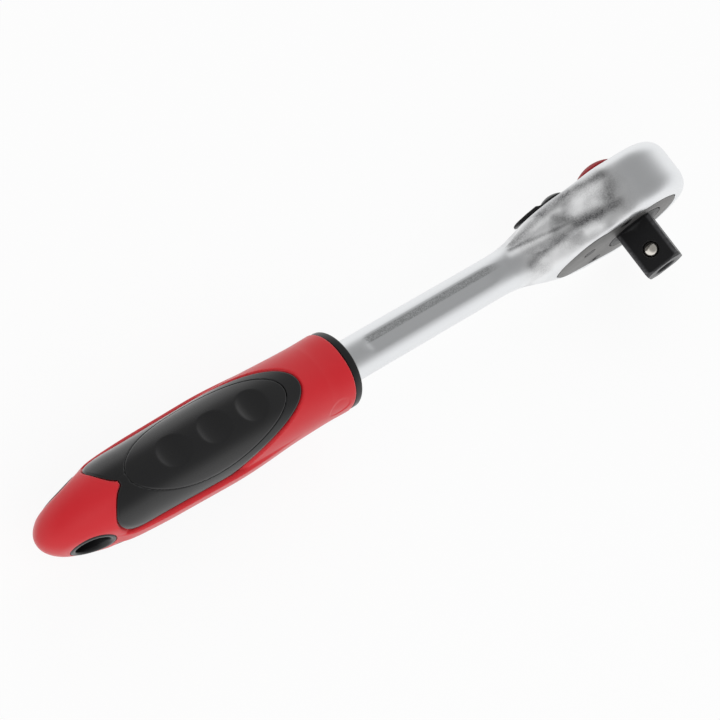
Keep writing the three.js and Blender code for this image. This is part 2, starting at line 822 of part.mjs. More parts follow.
// A prism above the panel floor, or its mirror below
function windowPrism(shape, side, floor) {
  const high = 2 * swellHalfWidth;
  return side > 0 ? block(shape, floor, high, 10) : block(shape, -high, -floor, 10);
}

const gripOuter = handleForm(0, handleX(0), 32, 12);
const gripInner = handleForm(skinWall, handleX(-cutPast), 24, 9);

// Raised spines along both edges of the handle, between the panels
function spines() {
  const from = handleX(spineStart);
  const to = handleX(spineEnd);
  const shape = new THREE.Shape();
  shape.absellipse((from + to) / 2, 0, (from - to) / 2, panelFloor, 0, turn);
  const band = slab(shape, -2 * swellHalfHeight, 2 * swellHalfHeight, 14);
  return band.intersect(handleForm(0, handleX(0), 32, 12, spineRise));
}

function handleSkin() {
  const windows = [1, -1].map((side) => windowPrism(panelOutline(0), side, panelFloor));
  const hollow = cut(union(gripOuter, spines()), gripInner, ...windows, ...hangDishes(0));
  return cut(hollow, hangCylinder(hangRimRadius + fitGap));
}

function handleCore() {
  const body = handleForm(skinWall + fitGap, handleX(-fitGap), 24, 9);
  const collar = new THREE.CylinderGeometry(collarRadius, collarRadius, collarWidth, 40)
    .rotateZ(Math.PI / 2).translate(-collarStart - collarWidth / 2, 0, 0);
  const rimForm = cut(handleForm(-hangRimProud, handleX(0), 32, 12), ...hangDishes(hangRimProud));
  const rim = hangCylinder(hangRimRadius).intersect(rimForm);
  const tangRoom = turned([
    [0, -tangEnd - fitGap],
    [tangRadius + fitGap, -tangEnd - fitGap],
    [tangRadius + fitGap, -tangStart - tangStep - fitGap],
    [shankRadius + fitGap, -tangStart - fitGap],
    [shankRadius + fitGap, -collarStart + cutPast],
    [0, -collarStart + cutPast],
  ], 32).rotate([0, 0, -90]);
  return cut(union(body, solid(collar), rim), tangRoom, hangCylinder(hangHoleRadius));
}

function gripPanel(side) {
  const prism = windowPrism(panelOutline(fitGap), side, panelFloor + fitGap);
  const hole = windowPrism(insetOutline(slideGap), side, 0);
  return cut(prism.intersect(gripOuter), gripInner, hole);
}

function gripInset(side) {
  const prism = windowPrism(insetOutline(0), side, panelFloor);
  const pad = cut(prism.intersect(gripOuter), gripInner);
  const dimples = [-1, 0, 1].map((step) => {
    const along = dimpleCentre + step * dimplePitch;
    const bowl = new THREE.SphereGeometry(1, 24, 16).scale(dimpleRound, dimpleFlat, dimpleRound);
    const height = handleHalf(along).y + dimpleRound - dimpleDepth;
    return solid(bowl.translate(handleX(along), 0, side * height));
  });
  return cut(pad, ...dimples);
}

const releaseSpring = () => {
  const radius = (counterboreRadius + rodBoreRadius) / 2;
  return coil(radius, springWire, counterboreFloor + fitGap, flangeLow - fitGap, springTurns);
};

const tool = new THREE.Group();
tool.add(
  piece('ratchet_body', ratchetBody(), chrome),
  piece('cover_plate', coverPlate(), plateGrey),
  piece('cover_screw_upper', coverScrew(1), blackOxide),
  piece('cover_screw_lower', coverScrew(-1), blackOxide),
  piece('drive_gear', driveGear(), blackOxide),
  piece('detent_ball', detentBall(), steel),
  piece('release_rod', releaseRod(), steel),
  piece('release_button', releaseButton(), redPlastic),
  piece('release_spring', releaseSpring(), steel),
  piece('button_snap_ring', snapRing(), steel),
  piece('pawl', pawl(), steel),
  piece('pawl_pin', pawlPin(), steel),
  piece('reverser_shaft', reverserShaft(), steel),
  piece('reversing_lever', reversingLever(), leverBlack),
  piece('reverser_plunger', reverserPlunger(), steel),
  piece('reverser_spring', reverserSpring(), steel),
  piece('reverser_seal', reverserSeal(), rubber),
  piece('handle_core', handleCore(), blackPlastic),
  piece('handle_skin', handleSkin(), redGrip),
  piece('grip_panel_upper', gripPanel(1), blackGrip),
  piece('grip_panel_lower', gripPanel(-1), blackGrip),
  piece('grip_inset_upper', gripInset(1), blackGrip),
  piece('grip_inset_lower', gripInset(-1), blackGrip),
);

// The tool lies on the side of its head, with the middle of its box over the origin
tool.position.set((buttEnd - headRadius) / 2, (driveTip - buttonTop) / 2, headRadius);

const ratchet = new THREE.Group();
ratchet.add(tool);

export default ratchet;
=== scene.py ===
import json
import math

import bmesh
import bpy
import numpy as np
from mathutils import Matrix, Vector


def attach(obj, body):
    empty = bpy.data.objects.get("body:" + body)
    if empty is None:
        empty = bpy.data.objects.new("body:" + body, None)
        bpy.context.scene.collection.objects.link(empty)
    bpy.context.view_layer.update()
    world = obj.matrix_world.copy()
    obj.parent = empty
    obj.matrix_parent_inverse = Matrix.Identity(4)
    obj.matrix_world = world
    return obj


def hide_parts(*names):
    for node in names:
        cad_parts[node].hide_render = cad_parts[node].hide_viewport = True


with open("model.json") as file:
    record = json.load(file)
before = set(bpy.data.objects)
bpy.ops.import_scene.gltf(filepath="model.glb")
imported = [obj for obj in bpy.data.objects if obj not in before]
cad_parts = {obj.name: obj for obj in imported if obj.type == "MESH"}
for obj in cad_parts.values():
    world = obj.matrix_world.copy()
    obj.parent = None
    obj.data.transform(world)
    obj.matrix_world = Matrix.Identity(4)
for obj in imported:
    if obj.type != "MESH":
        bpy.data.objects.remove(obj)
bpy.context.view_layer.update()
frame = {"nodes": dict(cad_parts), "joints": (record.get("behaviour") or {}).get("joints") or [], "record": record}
cadNodes = frame["nodes"]
joints = {joint["name"]: joint for joint in frame["joints"]}

# Pieces are modelled in millimetres from where the drive axis crosses the handle's axis
toolOrigin = Vector(joints["drive_spin"]["pos_m"])
toMetres = Matrix.Translation(toolOrigin) @ Matrix.Scale(0.001, 4)
leverX = (joints["lever_flip"]["pos_m"][0] - toolOrigin.x) * 1000
headRadius = toolOrigin.z * 1000
driveTurn = math.radians(-42)
leverThrow = math.radians(28)
print("frame loaded, drive axis at", [round(v, 4) for v in toolOrigin])


# Small helpers for shapes
def smoothStep(value):
    t = np.clip(value, 0, 1)
    return t * t * (3 - 2 * t)


# One between low and high, with a soft start and end of the given lengths
def within(value, low, high, fadeIn, fadeOut):
    return smoothStep((value - low) / fadeIn) * smoothStep((high - value) / fadeOut)


def softMin(a, b, reach):
    near = np.maximum(reach - np.abs(a - b), 0) / reach
    return np.minimum(a, b) - near * near * reach / 4


def softMax(a, b, reach):
    return -softMin(-a, -b, reach)


def superBend(value, power):
    return np.sign(value) * np.abs(value) ** (2 / power)


# Loops of points joined by extruding one ring after another
def loftLoops(bm, loops, capStart=True, capEnd=True):
    ring = list(bmesh.ops.create_circle(bm, segments=len(loops[0]), radius=1)["verts"])
    # kept in order, so that each run builds the same mesh
    edges = list(dict.fromkeys(edge for vert in ring for edge in vert.link_edges))
    firstEdges = edges
    for vert, point in zip(ring, loops[0]):
        vert.co = point
    for loop in loops[1:]:
        grown = bmesh.ops.extrude_edge_only(bm, edges=edges)["geom"]
        fresh = {part for part in grown if isinstance(part, bmesh.types.BMVert)}
        following = []
        for vert, point in zip(ring, loop):
            partner = next(e.other_vert(vert) for e in vert.link_edges if e.other_vert(vert) in fresh)
            partner.co = point
            following.append(partner)
        edges = [p for p in grown if isinstance(p, bmesh.types.BMEdge) and set(p.verts) <= fresh]
        ring = following
    if capStart:
        bmesh.ops.edgeloop_fill(bm, edges=firstEdges)
    if capEnd:
        bmesh.ops.edgeloop_fill(bm, edges=edges)


# A profile of radius and height spun about the drive's direction or the handle's
def lathe(bm, profile, steps, axis="Y", centre=(0, 0, 0)):
    line = (0, 1, 0) if axis == "Y" else (1, 0, 0)
    places = [(r, h, 0) if axis == "Y" else (h, r, 0) for r, h in profile]
    verts = [bm.verts.new(Vector(place) + Vector(centre)) for place in places]
    edges = [bm.edges.new(pair) for pair in zip(verts, verts[1:])]
    bmesh.ops.spin(bm, geom=verts + edges, cent=centre, axis=line, angle=math.tau,
                   steps=steps, use_merge=True)
    bmesh.ops.remove_doubles(bm, verts=bm.verts, dist=1e-4)
    bmesh.ops.recalc_face_normals(bm, faces=bm.faces)


def arc(centre, radius, start, end, count):
    angles = np.radians(np.linspace(start, end, count))
    return [(centre[0] + radius * math.cos(a), centre[1] + radius * math.sin(a)) for a in angles]


def addObject(name, data):
    obj = bpy.data.objects.new(name, data)
    bpy.context.scene.collection.objects.link(obj)
    return obj


def shadeSmooth(mesh, sharp):
    mesh.polygons.foreach_set("use_smooth", [True] * len(mesh.polygons))
    mesh.set_sharp_from_angle(angle=math.radians(sharp))


def meshObject(name, bm, sharp):
    bmesh.ops.recalc_face_normals(bm, faces=bm.faces)
    bmesh.ops.transform(bm, matrix=toMetres, verts=bm.verts)
    mesh = bpy.data.meshes.new(name)
    bm.to_mesh(mesh)
    bm.free()
    shadeSmooth(mesh, sharp)
    return addObject(name, mesh)


# Cuts with the Boolean modifier, made part of the mesh
def carve(obj, cutters, sharp):
    for cutter in cutters:
        modifier = obj.modifiers.new("cut", "BOOLEAN")
        modifier.operation = "DIFFERENCE"
        modifier.solver = "EXACT"
        modifier.object = cutter
    bpy.context.view_layer.update()
    carved = bpy.data.meshes.new_from_object(obj.evaluated_get(bpy.context.evaluated_depsgraph_get()))
    obj.modifiers.clear()
    obj.data = carved
    shadeSmooth(carved, sharp)
    for cutter in cutters:
        bpy.data.objects.remove(cutter)


# Adds a second mesh to a piece's own
def absorb(bm, other):
    mesh = bpy.data.meshes.new("joined")
    other.to_mesh(mesh)
    other.free()
    bm.from_mesh(mesh)
    bpy.data.meshes.remove(mesh)


def dress(obj, body, slot, node):
    obj.data.materials.clear()
    obj.data.materials.append(finishes[slot])
    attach(obj, body)
    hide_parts(node)
    print(obj.name, "has", len(obj.data.polygons), "faces")


# Shader maths on sockets
class Wire:
    def __init__(self, paint, socket):
        self.paint = paint
        self.socket = socket

    def maths(self, operation, first, second):
        return self.paint.node("ShaderNodeMath", {"operation": operation}, {0: first, 1: second})

    def __add__(self, other):
        return self.maths("ADD", self, other)

    __radd__ = __add__

    def __sub__(self, other):
        return self.maths("SUBTRACT", self, other)

    def __rsub__(self, other):
        return self.maths("SUBTRACT", other, self)

    def __mul__(self, other):
        return self.maths("MULTIPLY", self, other)

    __rmul__ = __mul__


class Paint:
    def __init__(self, name):
        self.material = bpy.data.materials.new(name)
        self.material.use_nodes = True
        self.tree = self.material.node_tree
        self.shader = next(n for n in self.tree.nodes if n.type == "BSDF_PRINCIPLED")

    def node(self, kind, settings=None, inputs=None, outlet=0):
        made = self.tree.nodes.new(kind)
        for key, value in (settings or {}).items():
            if key == "stops":
                self.setStops(made.color_ramp, value)
            else:
                setattr(made, key, value)
        for key, value in (inputs or {}).items():
            self.join(made.inputs[key], value)
        return Wire(self, made.outputs[outlet])

    def setStops(self, ramp, stops):
        while len(ramp.elements) < len(stops):
            ramp.elements.new(0.5)
        for element, (place, value) in zip(ramp.elements, stops):
            element.position = place
            element.color = (value, value, value, 1)

    def join(self, socket, value):
        if isinstance(value, Wire):
            self.tree.links.new(value.socket, socket)
        elif isinstance(value, tuple) and len(value) == 3 and socket.type == "RGBA":
            socket.default_value = (*value, 1)
        else:
            socket.default_value = value

    # Object coordinates in millimetres, stretched along the axes
    def place(self, stretch):
        coords = self.node("ShaderNodeTexCoord", outlet="Object")
        scale = tuple(1000 * s for s in stretch)
        return self.node("ShaderNodeMapping", {}, {"Vector": coords, "Scale": scale})

    def noise(self, perMillimetre, detail=3, roughness=0.55, stretch=(1, 1, 1)):
        inputs = {"Vector": self.place(stretch), "Scale": perMillimetre,
                  "Detail": detail, "Roughness": roughness}
        return self.node("ShaderNodeTexNoise", {}, inputs, "Fac")

    def ramp(self, value, *stops):
        return self.node("ShaderNodeValToRGB", {"stops": stops}, {"Fac": value}, "Color")

    def mask(self, name):
        return self.node("ShaderNodeAttribute", {"attribute_name": name}, {}, "Fac")

    def blend(self, share, first, second):
        # a Mix node's colour sockets are inputs 6 and 7 and output 2
        inputs = {0: share, 6: first, 7: second}
        return self.node("ShaderNodeMix", {"data_type": "RGBA"}, inputs, 2)

    def bump(self, height, distance, strength):
        inputs = {"Height": height, "Distance": distance * 0.001, "Strength": strength}
        return self.node("ShaderNodeBump", {}, inputs)

    def finish(self, sockets):
        for name, value in sockets.items():
            self.join(self.shader.inputs[name], value)
        return self.material


# Masks that the forged body carries for its chrome: forging grain, the milled strip, painted shade and painted
# highlights
bodyMasks = ("grain", "strip", "shade", "glint")


def satinChrome():
    paint = Paint("satin_chrome")
    grain, strip, shade, glint = [paint.mask(name) for name in bodyMasks]
    mottle = paint.ramp(paint.noise(0.16, 2, 0.5), (0.38, 0.0), (0.62, 1.0))
    speckle = paint.ramp(paint.noise(2.0, 3, 0.7), (0.36, 0.0), (0.64, 1.0))
    swell = paint.noise(0.2, 2, 0.5)
    streaks = paint.noise(0.5, 3, 0.6, (0.08, 1, 1))
    # painted shade: the shade bands darken the chrome, plus random dark mottle in the forging grain
    paintedShadeAndMottle = shade * (0.72 + 0.3 * speckle) + 0.22 * grain * mottle * (0.5 + speckle)
    colour = paint.blend(grain, (0.84, 0.855, 0.87), (0.95, 0.955, 0.96))
    colour = paint.blend(paintedShadeAndMottle, colour, (0.15, 0.15, 0.155))
    colour = paint.blend(strip * (0.25 + 0.75 * speckle), colour, (0.42, 0.43, 0.435))
    rough = 0.3 + 0.05 * streaks + 0.28 * grain * (1 - shade) + 0.1 * strip
    height = speckle * (0.01 + 0.3 * grain + 0.5 * strip) + 7 * swell * grain
    # the glint bands drop the metal to a pale matte, as painted highlights
    return paint.finish({"Base Color": colour, "Metallic": 1 - glint * (0.7 + 0.25 * speckle),
                         "Roughness": rough, "Normal": paint.bump(height, 0.06, 0.6)})


def blackOxide():
    paint = Paint("black_oxide")
    wear = paint.mask("wear")
    patch = paint.ramp(paint.noise(0.9, 4, 0.6), (0.35, 0.0), (0.65, 1.0))
    rubbed = wear * (0.45 + 0.55 * patch)
    colour = paint.blend(rubbed, (0.01, 0.01, 0.011), (0.1, 0.1, 0.105))
    rough = 0.36 + 0.14 * paint.noise(0.6, 3) - 0.1 * rubbed
    fine = paint.noise(2.4, 3, 0.6)
    return paint.finish({"Base Color": colour, "Metallic": 0.5, "Roughness": rough,
                         "Normal": paint.bump(fine, 0.02, 0.4)})


# Finishes with a cloudy colour and a fine grain. A noise is its scale per millimetre, detail, roughness
# and stretch. The grain varies the roughness by its second number and dents the surface
plainFinishes = {
    "plate_grey": {
        "name": "cover_plate_grey", "cloud": (0.15, 3, 0.6), "grain": (3.0, 3, 0.6, (0.06, 1, 1)),
        "colours": ((0.13, 0.128, 0.126), (0.22, 0.216, 0.212)),
        "rough": (0.36, 0.2), "dent": (0.02, 0.4), "more": {"Metallic": 0.85}},
    "steel": {
        "name": "bright_steel", "grain": (1.1, 4, 0.6),
        "colours": ((0.82, 0.78, 0.7), (0.74, 0.71, 0.66)),
        "rough": (0.12, 0.08), "dent": (0.004, 0.3), "more": {"Metallic": 1.0}},
    "red_plastic": {
        "name": "gloss_red", "grain": (0.3, 3, 0.5),
        "colours": ((0.3, 0.005, 0.01), (0.36, 0.007, 0.013)),
        "rough": (0.42, 0.08), "more": {"Specular IOR Level": 0.12}},
    "red_grip": {
        "name": "soft_red", "cloud": (0.05, 3, 0.5), "grain": (3.2, 3, 0.6),
        "colours": ((0.62, 0.009, 0.017), (0.68, 0.011, 0.02)),
        "rough": (0.38, 0.1), "dent": (0.012, 0.5),
        "more": {"Specular IOR Level": 0.5, "Sheen Weight": 0.5, "Sheen Roughness": 0.35,
                 "Sheen Tint": (1.0, 0.72, 0.72)}},
    "black_grip": {
        "name": "satin_black", "cloud": (0.08, 3, 0.5), "grain": (3.0, 3, 0.6),
        "colours": ((0.0035, 0.0035, 0.004), (0.006, 0.006, 0.0065)),
        "rough": (0.17, 0.06), "dent": (0.008, 0.5), "more": {"Specular IOR Level": 0.6}},
    "black_plastic": {
        "name": "hard_black", "grain": (2.0, 3, 0.6),
        "colours": ((0.004, 0.004, 0.0045), (0.008, 0.008, 0.0085)),
        "rough": (0.26, 0.1), "dent": (0.006, 0.4)},
    "lever_black": {
        "name": "lever_black", "grain": (1.6, 3, 0.6),
        "colours": ((0.005, 0.005, 0.0055), (0.011, 0.011, 0.012)),
        "rough": (0.28, 0.1), "dent": (0.008, 0.4), "more": {"Metallic": 0.2}},
    "seal_rubber": {
        "name": "seal_rubber", "grain": (2.5, 3, 0.6),
        "colours": ((0.01, 0.01, 0.01), (0.02, 0.02, 0.02)), "rough": (0.7, 0.1)},
}


def plainFinish(look):
    paint = Paint(look["name"])
    grain = paint.noise(*look["grain"])
    cloud = paint.noise(*look["cloud"]) if "cloud" in look else grain
    plain, spread = look["rough"]
    sockets = {"Base Color": paint.blend(cloud, *look["colours"]), "Roughness": plain + spread * grain}
    if "dent" in look:
        sockets["Normal"] = paint.bump(grain, *look["dent"])
    return paint.finish({**sockets, **look.get("more", {})})


finishes = {"chrome": satinChrome(), "black_oxide": blackOxide()}
finishes.update({slot: plainFinish(look) for slot, look in plainFinishes.items()})
for part in frame["record"]["subparts"]:
    node = cadNodes[part["node"]]
    node.data.materials.clear()
    node.data.materials.append(finishes[part["material_slot"]])
print("finishes made:", len(finishes))


# Cover plate outline: a round plate that narrows to a round tail
plateSizes = {
    "face": 9.0, "thickness": 1.8, "radius": 16.0075, "tailReach": 20.0, "tailRadius": 13.2,
    "seatGap": 0.3, "edgeRound": 0.22, "hubHole": 10.0, "journalHole": 2.15,
    "screwX": -11.5, "screwHole": 2.25, "screwEdge": 0.5, "screwHead": 2.1, "around": 160,
}


def pearLoop(grow, y):
    size = plateSizes
    count = size["around"]
    big = size["radius"] + grow
    small = size["tailRadius"] + grow
    lean = math.degrees(math.asin((big - small) / size["tailReach"]))
    front = arc((0, 0), big, -90 - lean, 90 + lean, count)
    tail = arc((-size["tailReach"], 0), small, 90 + lean, 270 - lean, count * 3 // 4)
    return [(x, y, z) for x, z in front + tail]


def plateSlab(name, levels):
    bm = bmesh.new()
    loftLoops(bm, [pearLoop(grow, y) for grow, y in levels])
    return meshObject(name, bm, 40)


def roundCutter(name, profile, steps=96, x=0, z=0):
    bm = bmesh.new()
    lathe(bm, profile, steps, "Y", (x, 0, z))
    return meshObject(name, bm, 40)


def boreProfile(radius, low, high, chamfer, mouth):
    # mouth is the face that gets the chamfer
    side = 1 if mouth > (low + high) / 2 else -1
    steps = [(radius, mouth - side * chamfer), (radius + chamfer * 1.4, mouth + side * chamfer * 0.4)]
    if side > 0:
        return [(0, low), (radius, low), *steps, (radius + chamfer * 1.4, high), (0, high)]
    return [(0, low), (radius + chamfer * 1.4, low), *steps[::-1], (radius, high), (0, high)]


# Forged body: barrel-sided head, flaring neck and round shank in one smooth skin
bodySizes = {
    "backFace": 11.0, "headRim": 1.5, "bandLow": 3.0, "bandHigh": 5.0, "shoulder": 5.5,
    "shankRadius": 6.6, "shankStart": 56.0, "neckLength": 50.0, "shankEnd": 128.0,
    "blend": 6.0, "edgeBlend": 0.8,
    "flatFrom": -114.5, "flatTo": -54.0, "flatHalf": 3.1, "flatDepth": 0.65, "flatFade": 9.0,
    "scoopFrom": -51.0, "scoopTo": -8.0, "scoopDepth": 1.9, "scoopNarrow": 1.4, "scoopWide": 6.6,
    "scoopRise": 0.5, "ripple": 0.1,
    "scoopFade": (0.35, 0.5), "scoopPower": 0.8, "flankFrom": 0.45, "flankFade": 0.3,
    "runOut": 6.5, "runOutFrom": -14.0, "runOutLength": 18.0, "flatRun": 4.0, "slotBlend": 0.3,
    "seatFlare": ((1.4, -1), (0.45, -0.05), (0, 0.4)),
    "grainAlong": (-54, -5, 10, 12), "grainHalf": 10.2, "grainRise": 0.5, "grainFade": 2.5, "flankZ": 5.0,
    "stripAcross": (0.2, 2.8, 0.4, 0.4), "stripAlong": (-113.5, -55.0, 3, 8),
    # bands of painted shade on the flanks: start, end, reach and strength
    "paintedShadeBands": ((-14, 7.0, -24, 8.9, 1.7, 0.75), (-24, 8.9, -35, 7.7, 1.9, 0.8),
                  (-35, 7.7, -48, 5.0, 1.3, 0.75), (-15, -3.2, -28, -1.5, 2.0, 0.75),
                  (-28, -1.5, -47, -3.7, 1.4, 0.55), (-14, 3, -15.5, -1, 2.2, 0.5),
                  (-29, 0.5, -50, 3.6, 0.7, 0.6), (-27, -0.8, -33, 4.5, 1.4, 0.5)),
    # bands of painted highlight on the flanks, in the same columns
    "paintedGlintBands": ((-18, 5.2, -24, 4.4, 2.6, 0.95), (-23.5, -5.6, -27, -5.0, 1.8, 0.9),
                    (-36, 1.4, -51, 2.2, 1.1, 0.95), (-20, 1.2, -26, 2.6, 2.0, 0.7),
                    (-35, -4.6, -43, -4.6, 1.6, 0.6), (-30, 5.6, -40, 5.2, 0.9, 0.5)),
    "hubBore": 9.55, "shaftBore": 2.7,
    "neckFrom": -52.0, "neckTo": -8.0, "outermost": 45, "halvings": 40,
    "shankRings": 130, "neckRings": 96, "headRings": 84, "around": 168,
}

# Growth of the back, the plate side, the width, and squareness, by share of the neck
neckShares = np.array([0, 0.12, 0.24, 0.38, 0.52, 0.66, 0.86, 1])
neckGrowth = {
    "back": [0, 0.045, 0.3, 0.725, 0.95, 1, 1, 0.95],
    "plate": [0, 0.1, 0.62, 1.1, 1.67, 2, 1.75, 1],
    "width": [0, 0.025, 0.12, 0.28, 0.45, 0.62, 0.82, 0.86],
    "power": [2, 2.1, 2.3, 2.7, 3.2, 4, 5, 5],
}


def neckAt(share, name):
    offsets = (-0.06, -0.03, 0, 0.03, 0.06)
    return sum(np.interp(share + o, neckShares, neckGrowth[name]) for o in offsets) / len(offsets)


def bodyField(x, y, z):
    size = bodySizes
    face = plateSizes["face"]
    low = np.clip((-size["bandLow"] - y) / (face - size["bandLow"]), 0, 1)
    high = np.clip((y - size["bandHigh"]) / (size["backFace"] - size["bandHigh"]), 0, 1)
    rim = plateSizes["radius"] + size["headRim"]
    wall = headRadius - (headRadius - rim) * (1 - np.sqrt(1 - low ** 2))
    wall = wall - size["shoulder"] * (1 - np.sqrt(1 - high ** 2))
    head = np.sqrt(x * x + z * z) - wall
    share = (size["shankStart"] + x) / size["neckLength"]
    shank = size["shankRadius"]
    top = shank + (size["backFace"] - shank) * neckAt(share, "back")
    bottom = shank + (face - shank) * neckAt(share, "plate")
    wide = shank + (headRadius - shank) * neckAt(share, "width")
    power = neckAt(share, "power")
    tall = np.where(y > 0, top, bottom)
    neck = (np.abs(y / tall) ** power + np.abs(z / wide) ** power) ** (1 / power) - 1
    # the neck runs out inside the head
    over = smoothStep((x - size["runOutFrom"]) / size["runOutLength"])
    neck = neck * np.minimum(tall, wide) + size["runOut"] * over + np.maximum(x, 0)
    field = softMin(head, neck, size["blend"])
    # hollows forged into the flanks, widening to the head
    along = np.clip((x - size["scoopFrom"]) / (size["scoopTo"] - size["scoopFrom"]), 0, 1)
    tallness = size["scoopNarrow"] + size["scoopWide"] * along
    across = np.clip(1 - ((y - size["scoopRise"]) / tallness) ** 2, 0, 1) ** size["scoopPower"]
    fade = within(along, 0, 1, *size["scoopFade"])
    onFlank = smoothStep((np.abs(z) / wide - size["flankFrom"]) / size["flankFade"])
    wave = np.sin(x * 0.62 + 1.1) * np.sin(y * 0.7 + np.abs(z) * 0.33) + np.sin(x * 0.31 - y * 0.55)
    field = field + fade * onFlank * (size["scoopDepth"] * across + size["ripple"] * wave)
    # long milled flats on the shank, running out at both ends
    sunk = within(x, size["flatFrom"], size["flatTo"], size["flatRun"], size["flatFade"])
    slot = np.maximum(np.abs(y) - size["flatHalf"], shank + 0.02 - size["flatDepth"] * sunk - np.abs(z))
    slot = np.where(sunk > 0, slot, 1.0)
    field = softMax(field, -slot, size["slotBlend"])
    field = softMax(field, y - size["backFace"], size["edgeBlend"])
    return softMax(field, -face - y, size["edgeBlend"])


def bodyLoops():
    size = bodySizes
    neckFrom, neckTo = size["neckFrom"], size["neckTo"]
    shankX = np.linspace(-size["shankEnd"], neckFrom, size["shankRings"], endpoint=False)
    neckX = np.linspace(neckFrom, neckTo, size["neckRings"], endpoint=False)
    headX = headRadius * np.cos(np.linspace(math.acos(neckTo / headRadius), 0.02, size["headRings"]))
    x = np.concatenate([shankX, neckX, headX])[:, None]
    angle = (np.arange(size["around"]) + 0.5)[None, :] / size["around"] * math.tau
    # each ring is searched outward from a middle that rises by 1 mm toward the head
    middle = smoothStep((x + 50) / 30)
    inner = np.zeros((x.shape[0], angle.shape[1]))
    outer = inner + size["outermost"]
    for _ in range(size["halvings"]):
        radius = (inner + outer) / 2
        inside = bodyField(x + 0 * radius, middle + radius * np.cos(angle), radius * np.sin(angle)) < 0
        inner = np.where(inside, radius, inner)
        outer = np.where(inside, outer, radius)
    return np.stack([x + 0 * inner, middle + inner * np.cos(angle), inner * np.sin(angle)], axis=2)


# Strength of painted shade and painted highlight near a band: its two ends on the flank, reach and strength
def bandShade(x, y, band):
    startX, startY, endX, endY, reach, strength = band
    stepX, stepY = endX - startX, endY - startY
    t = ((x - startX) * stepX + (y - startY) * stepY) / (stepX ** 2 + stepY ** 2)
    t = min(1, max(0, t))
    away = math.hypot(x - startX - t * stepX, y - startY - t * stepY)
    return strength * math.exp(-(away / reach) ** 2)


def ratchetBody():
    size = bodySizes
    bm = bmesh.new()
    grain, strip, shade, glint = [bm.verts.layers.float.new(name) for name in bodyMasks]
    loftLoops(bm, bodyLoops())
    for vert in bm.verts:
        x, y, z = vert.co
        onFlank = abs(z) > size["flankZ"]
        forged = smoothStep((size["grainHalf"] - abs(y - size["grainRise"])) / size["grainFade"])
        vert[grain] = float(within(x, *size["grainAlong"]) * forged)
        vert[strip] = float(within(y, *size["stripAcross"]) * within(x, *size["stripAlong"]) * onFlank)
        # painted shade and painted highlights laid on the flanks in bands
        vert[shade] = max(bandShade(x, y, band) for band in size["paintedShadeBands"]) * onFlank
        vert[glint] = max(bandShade(x, y, band) for band in size["paintedGlintBands"]) * onFlank
    obj = meshObject("ratchet_forging", bm, 50)
    face = plateSizes["face"]
    floor = -face + plateSizes["thickness"]
    gap = plateSizes["seatGap"]
    levels = [(gap + grow, -face + rise) for grow, rise in size["seatFlare"]]
    seat = plateSlab("seat_cutter", levels + [(gap, floor)])
    back = size["backFace"]
    hub = roundCutter("hub_cutter", boreProfile(size["hubBore"], 0, back + 2, 0.4, back))
    shaft = roundCutter("shaft_cutter", boreProfile(size["shaftBore"], 0, back + 2, 0.3, back), 48, leverX)
    carve(obj, [seat, hub, shaft], 38)
    dress(obj, "body", "chrome", "ratchet_body")


ratchetBody()


def coverPlate():
    size = plateSizes
    face = size["face"]
    edge = size["edgeRound"]
    levels = [(-edge, -face), (-edge * 0.3, -face + edge * 0.3), (0, -face + edge),
              (0, -face + size["thickness"])]
    obj = plateSlab("cover_sheet", levels)
    lean = (size["radius"] - size["tailRadius"]) / size["tailReach"]
    inset = size["radius"] - size["screwEdge"] - size["screwHead"]
    screwZ = (inset + lean * size["screwX"]) / math.sqrt(1 - lean ** 2)
    top = -face + size["thickness"] + 1
    cutters = [
        roundCutter("hub_hole", boreProfile(size["hubHole"], -face - 1, top, 0.2, -face)),
        roundCutter("journal_hole", boreProfile(size["journalHole"], -face - 1, top, 0.15, -face),
                    48, leverX),
    ]
    for side in (1, -1):
        bore = boreProfile(size["screwHole"], -face - 1, top, 0.12, -face)
        cutters.append(roundCutter("screw_hole", bore, 48, size["screwX"], side * screwZ))
    carve(obj, cutters, 38)
    dress(obj, "body", "plate_grey", "cover_plate")


coverPlate()


# Drive: square, hubs, gear and bores as one stack of loops about the drive axis
driveSizes = {
    "square": 12.7, "cornerRadius": 0.9, "length": 16.2, "flare": 1.6,
    "chamferRise": 1.6, "chamferDepth": 1.5, "tipRound": 0.25, "recessRadius": 3.3, "recessDepth": 1.6,
    "hubLedge": 1.1, "gearShoulder": 3.6, "teeth": 72, "toothHeight": 0.9, "gearLow": -6.9, "gearHigh": 3.2,
    "upperHub": 9.25, "upperTop": 10.6, "counterbore": 7.75, "counterboreFloor": -1.0,
    "rodBore": 2.45, "rodRoom": -22.6, "ballY": -18.7,
    "ballBore": 2.65, "ballReach": 5.05, "ballRadius": 2.5, "ballFloor": 0.5, "ballLip": 0.35, "edge": 0.2,
    "wearCorner": (0.75, 0.6), "wearTip": (0.9, 0.8), "around": 576,
}


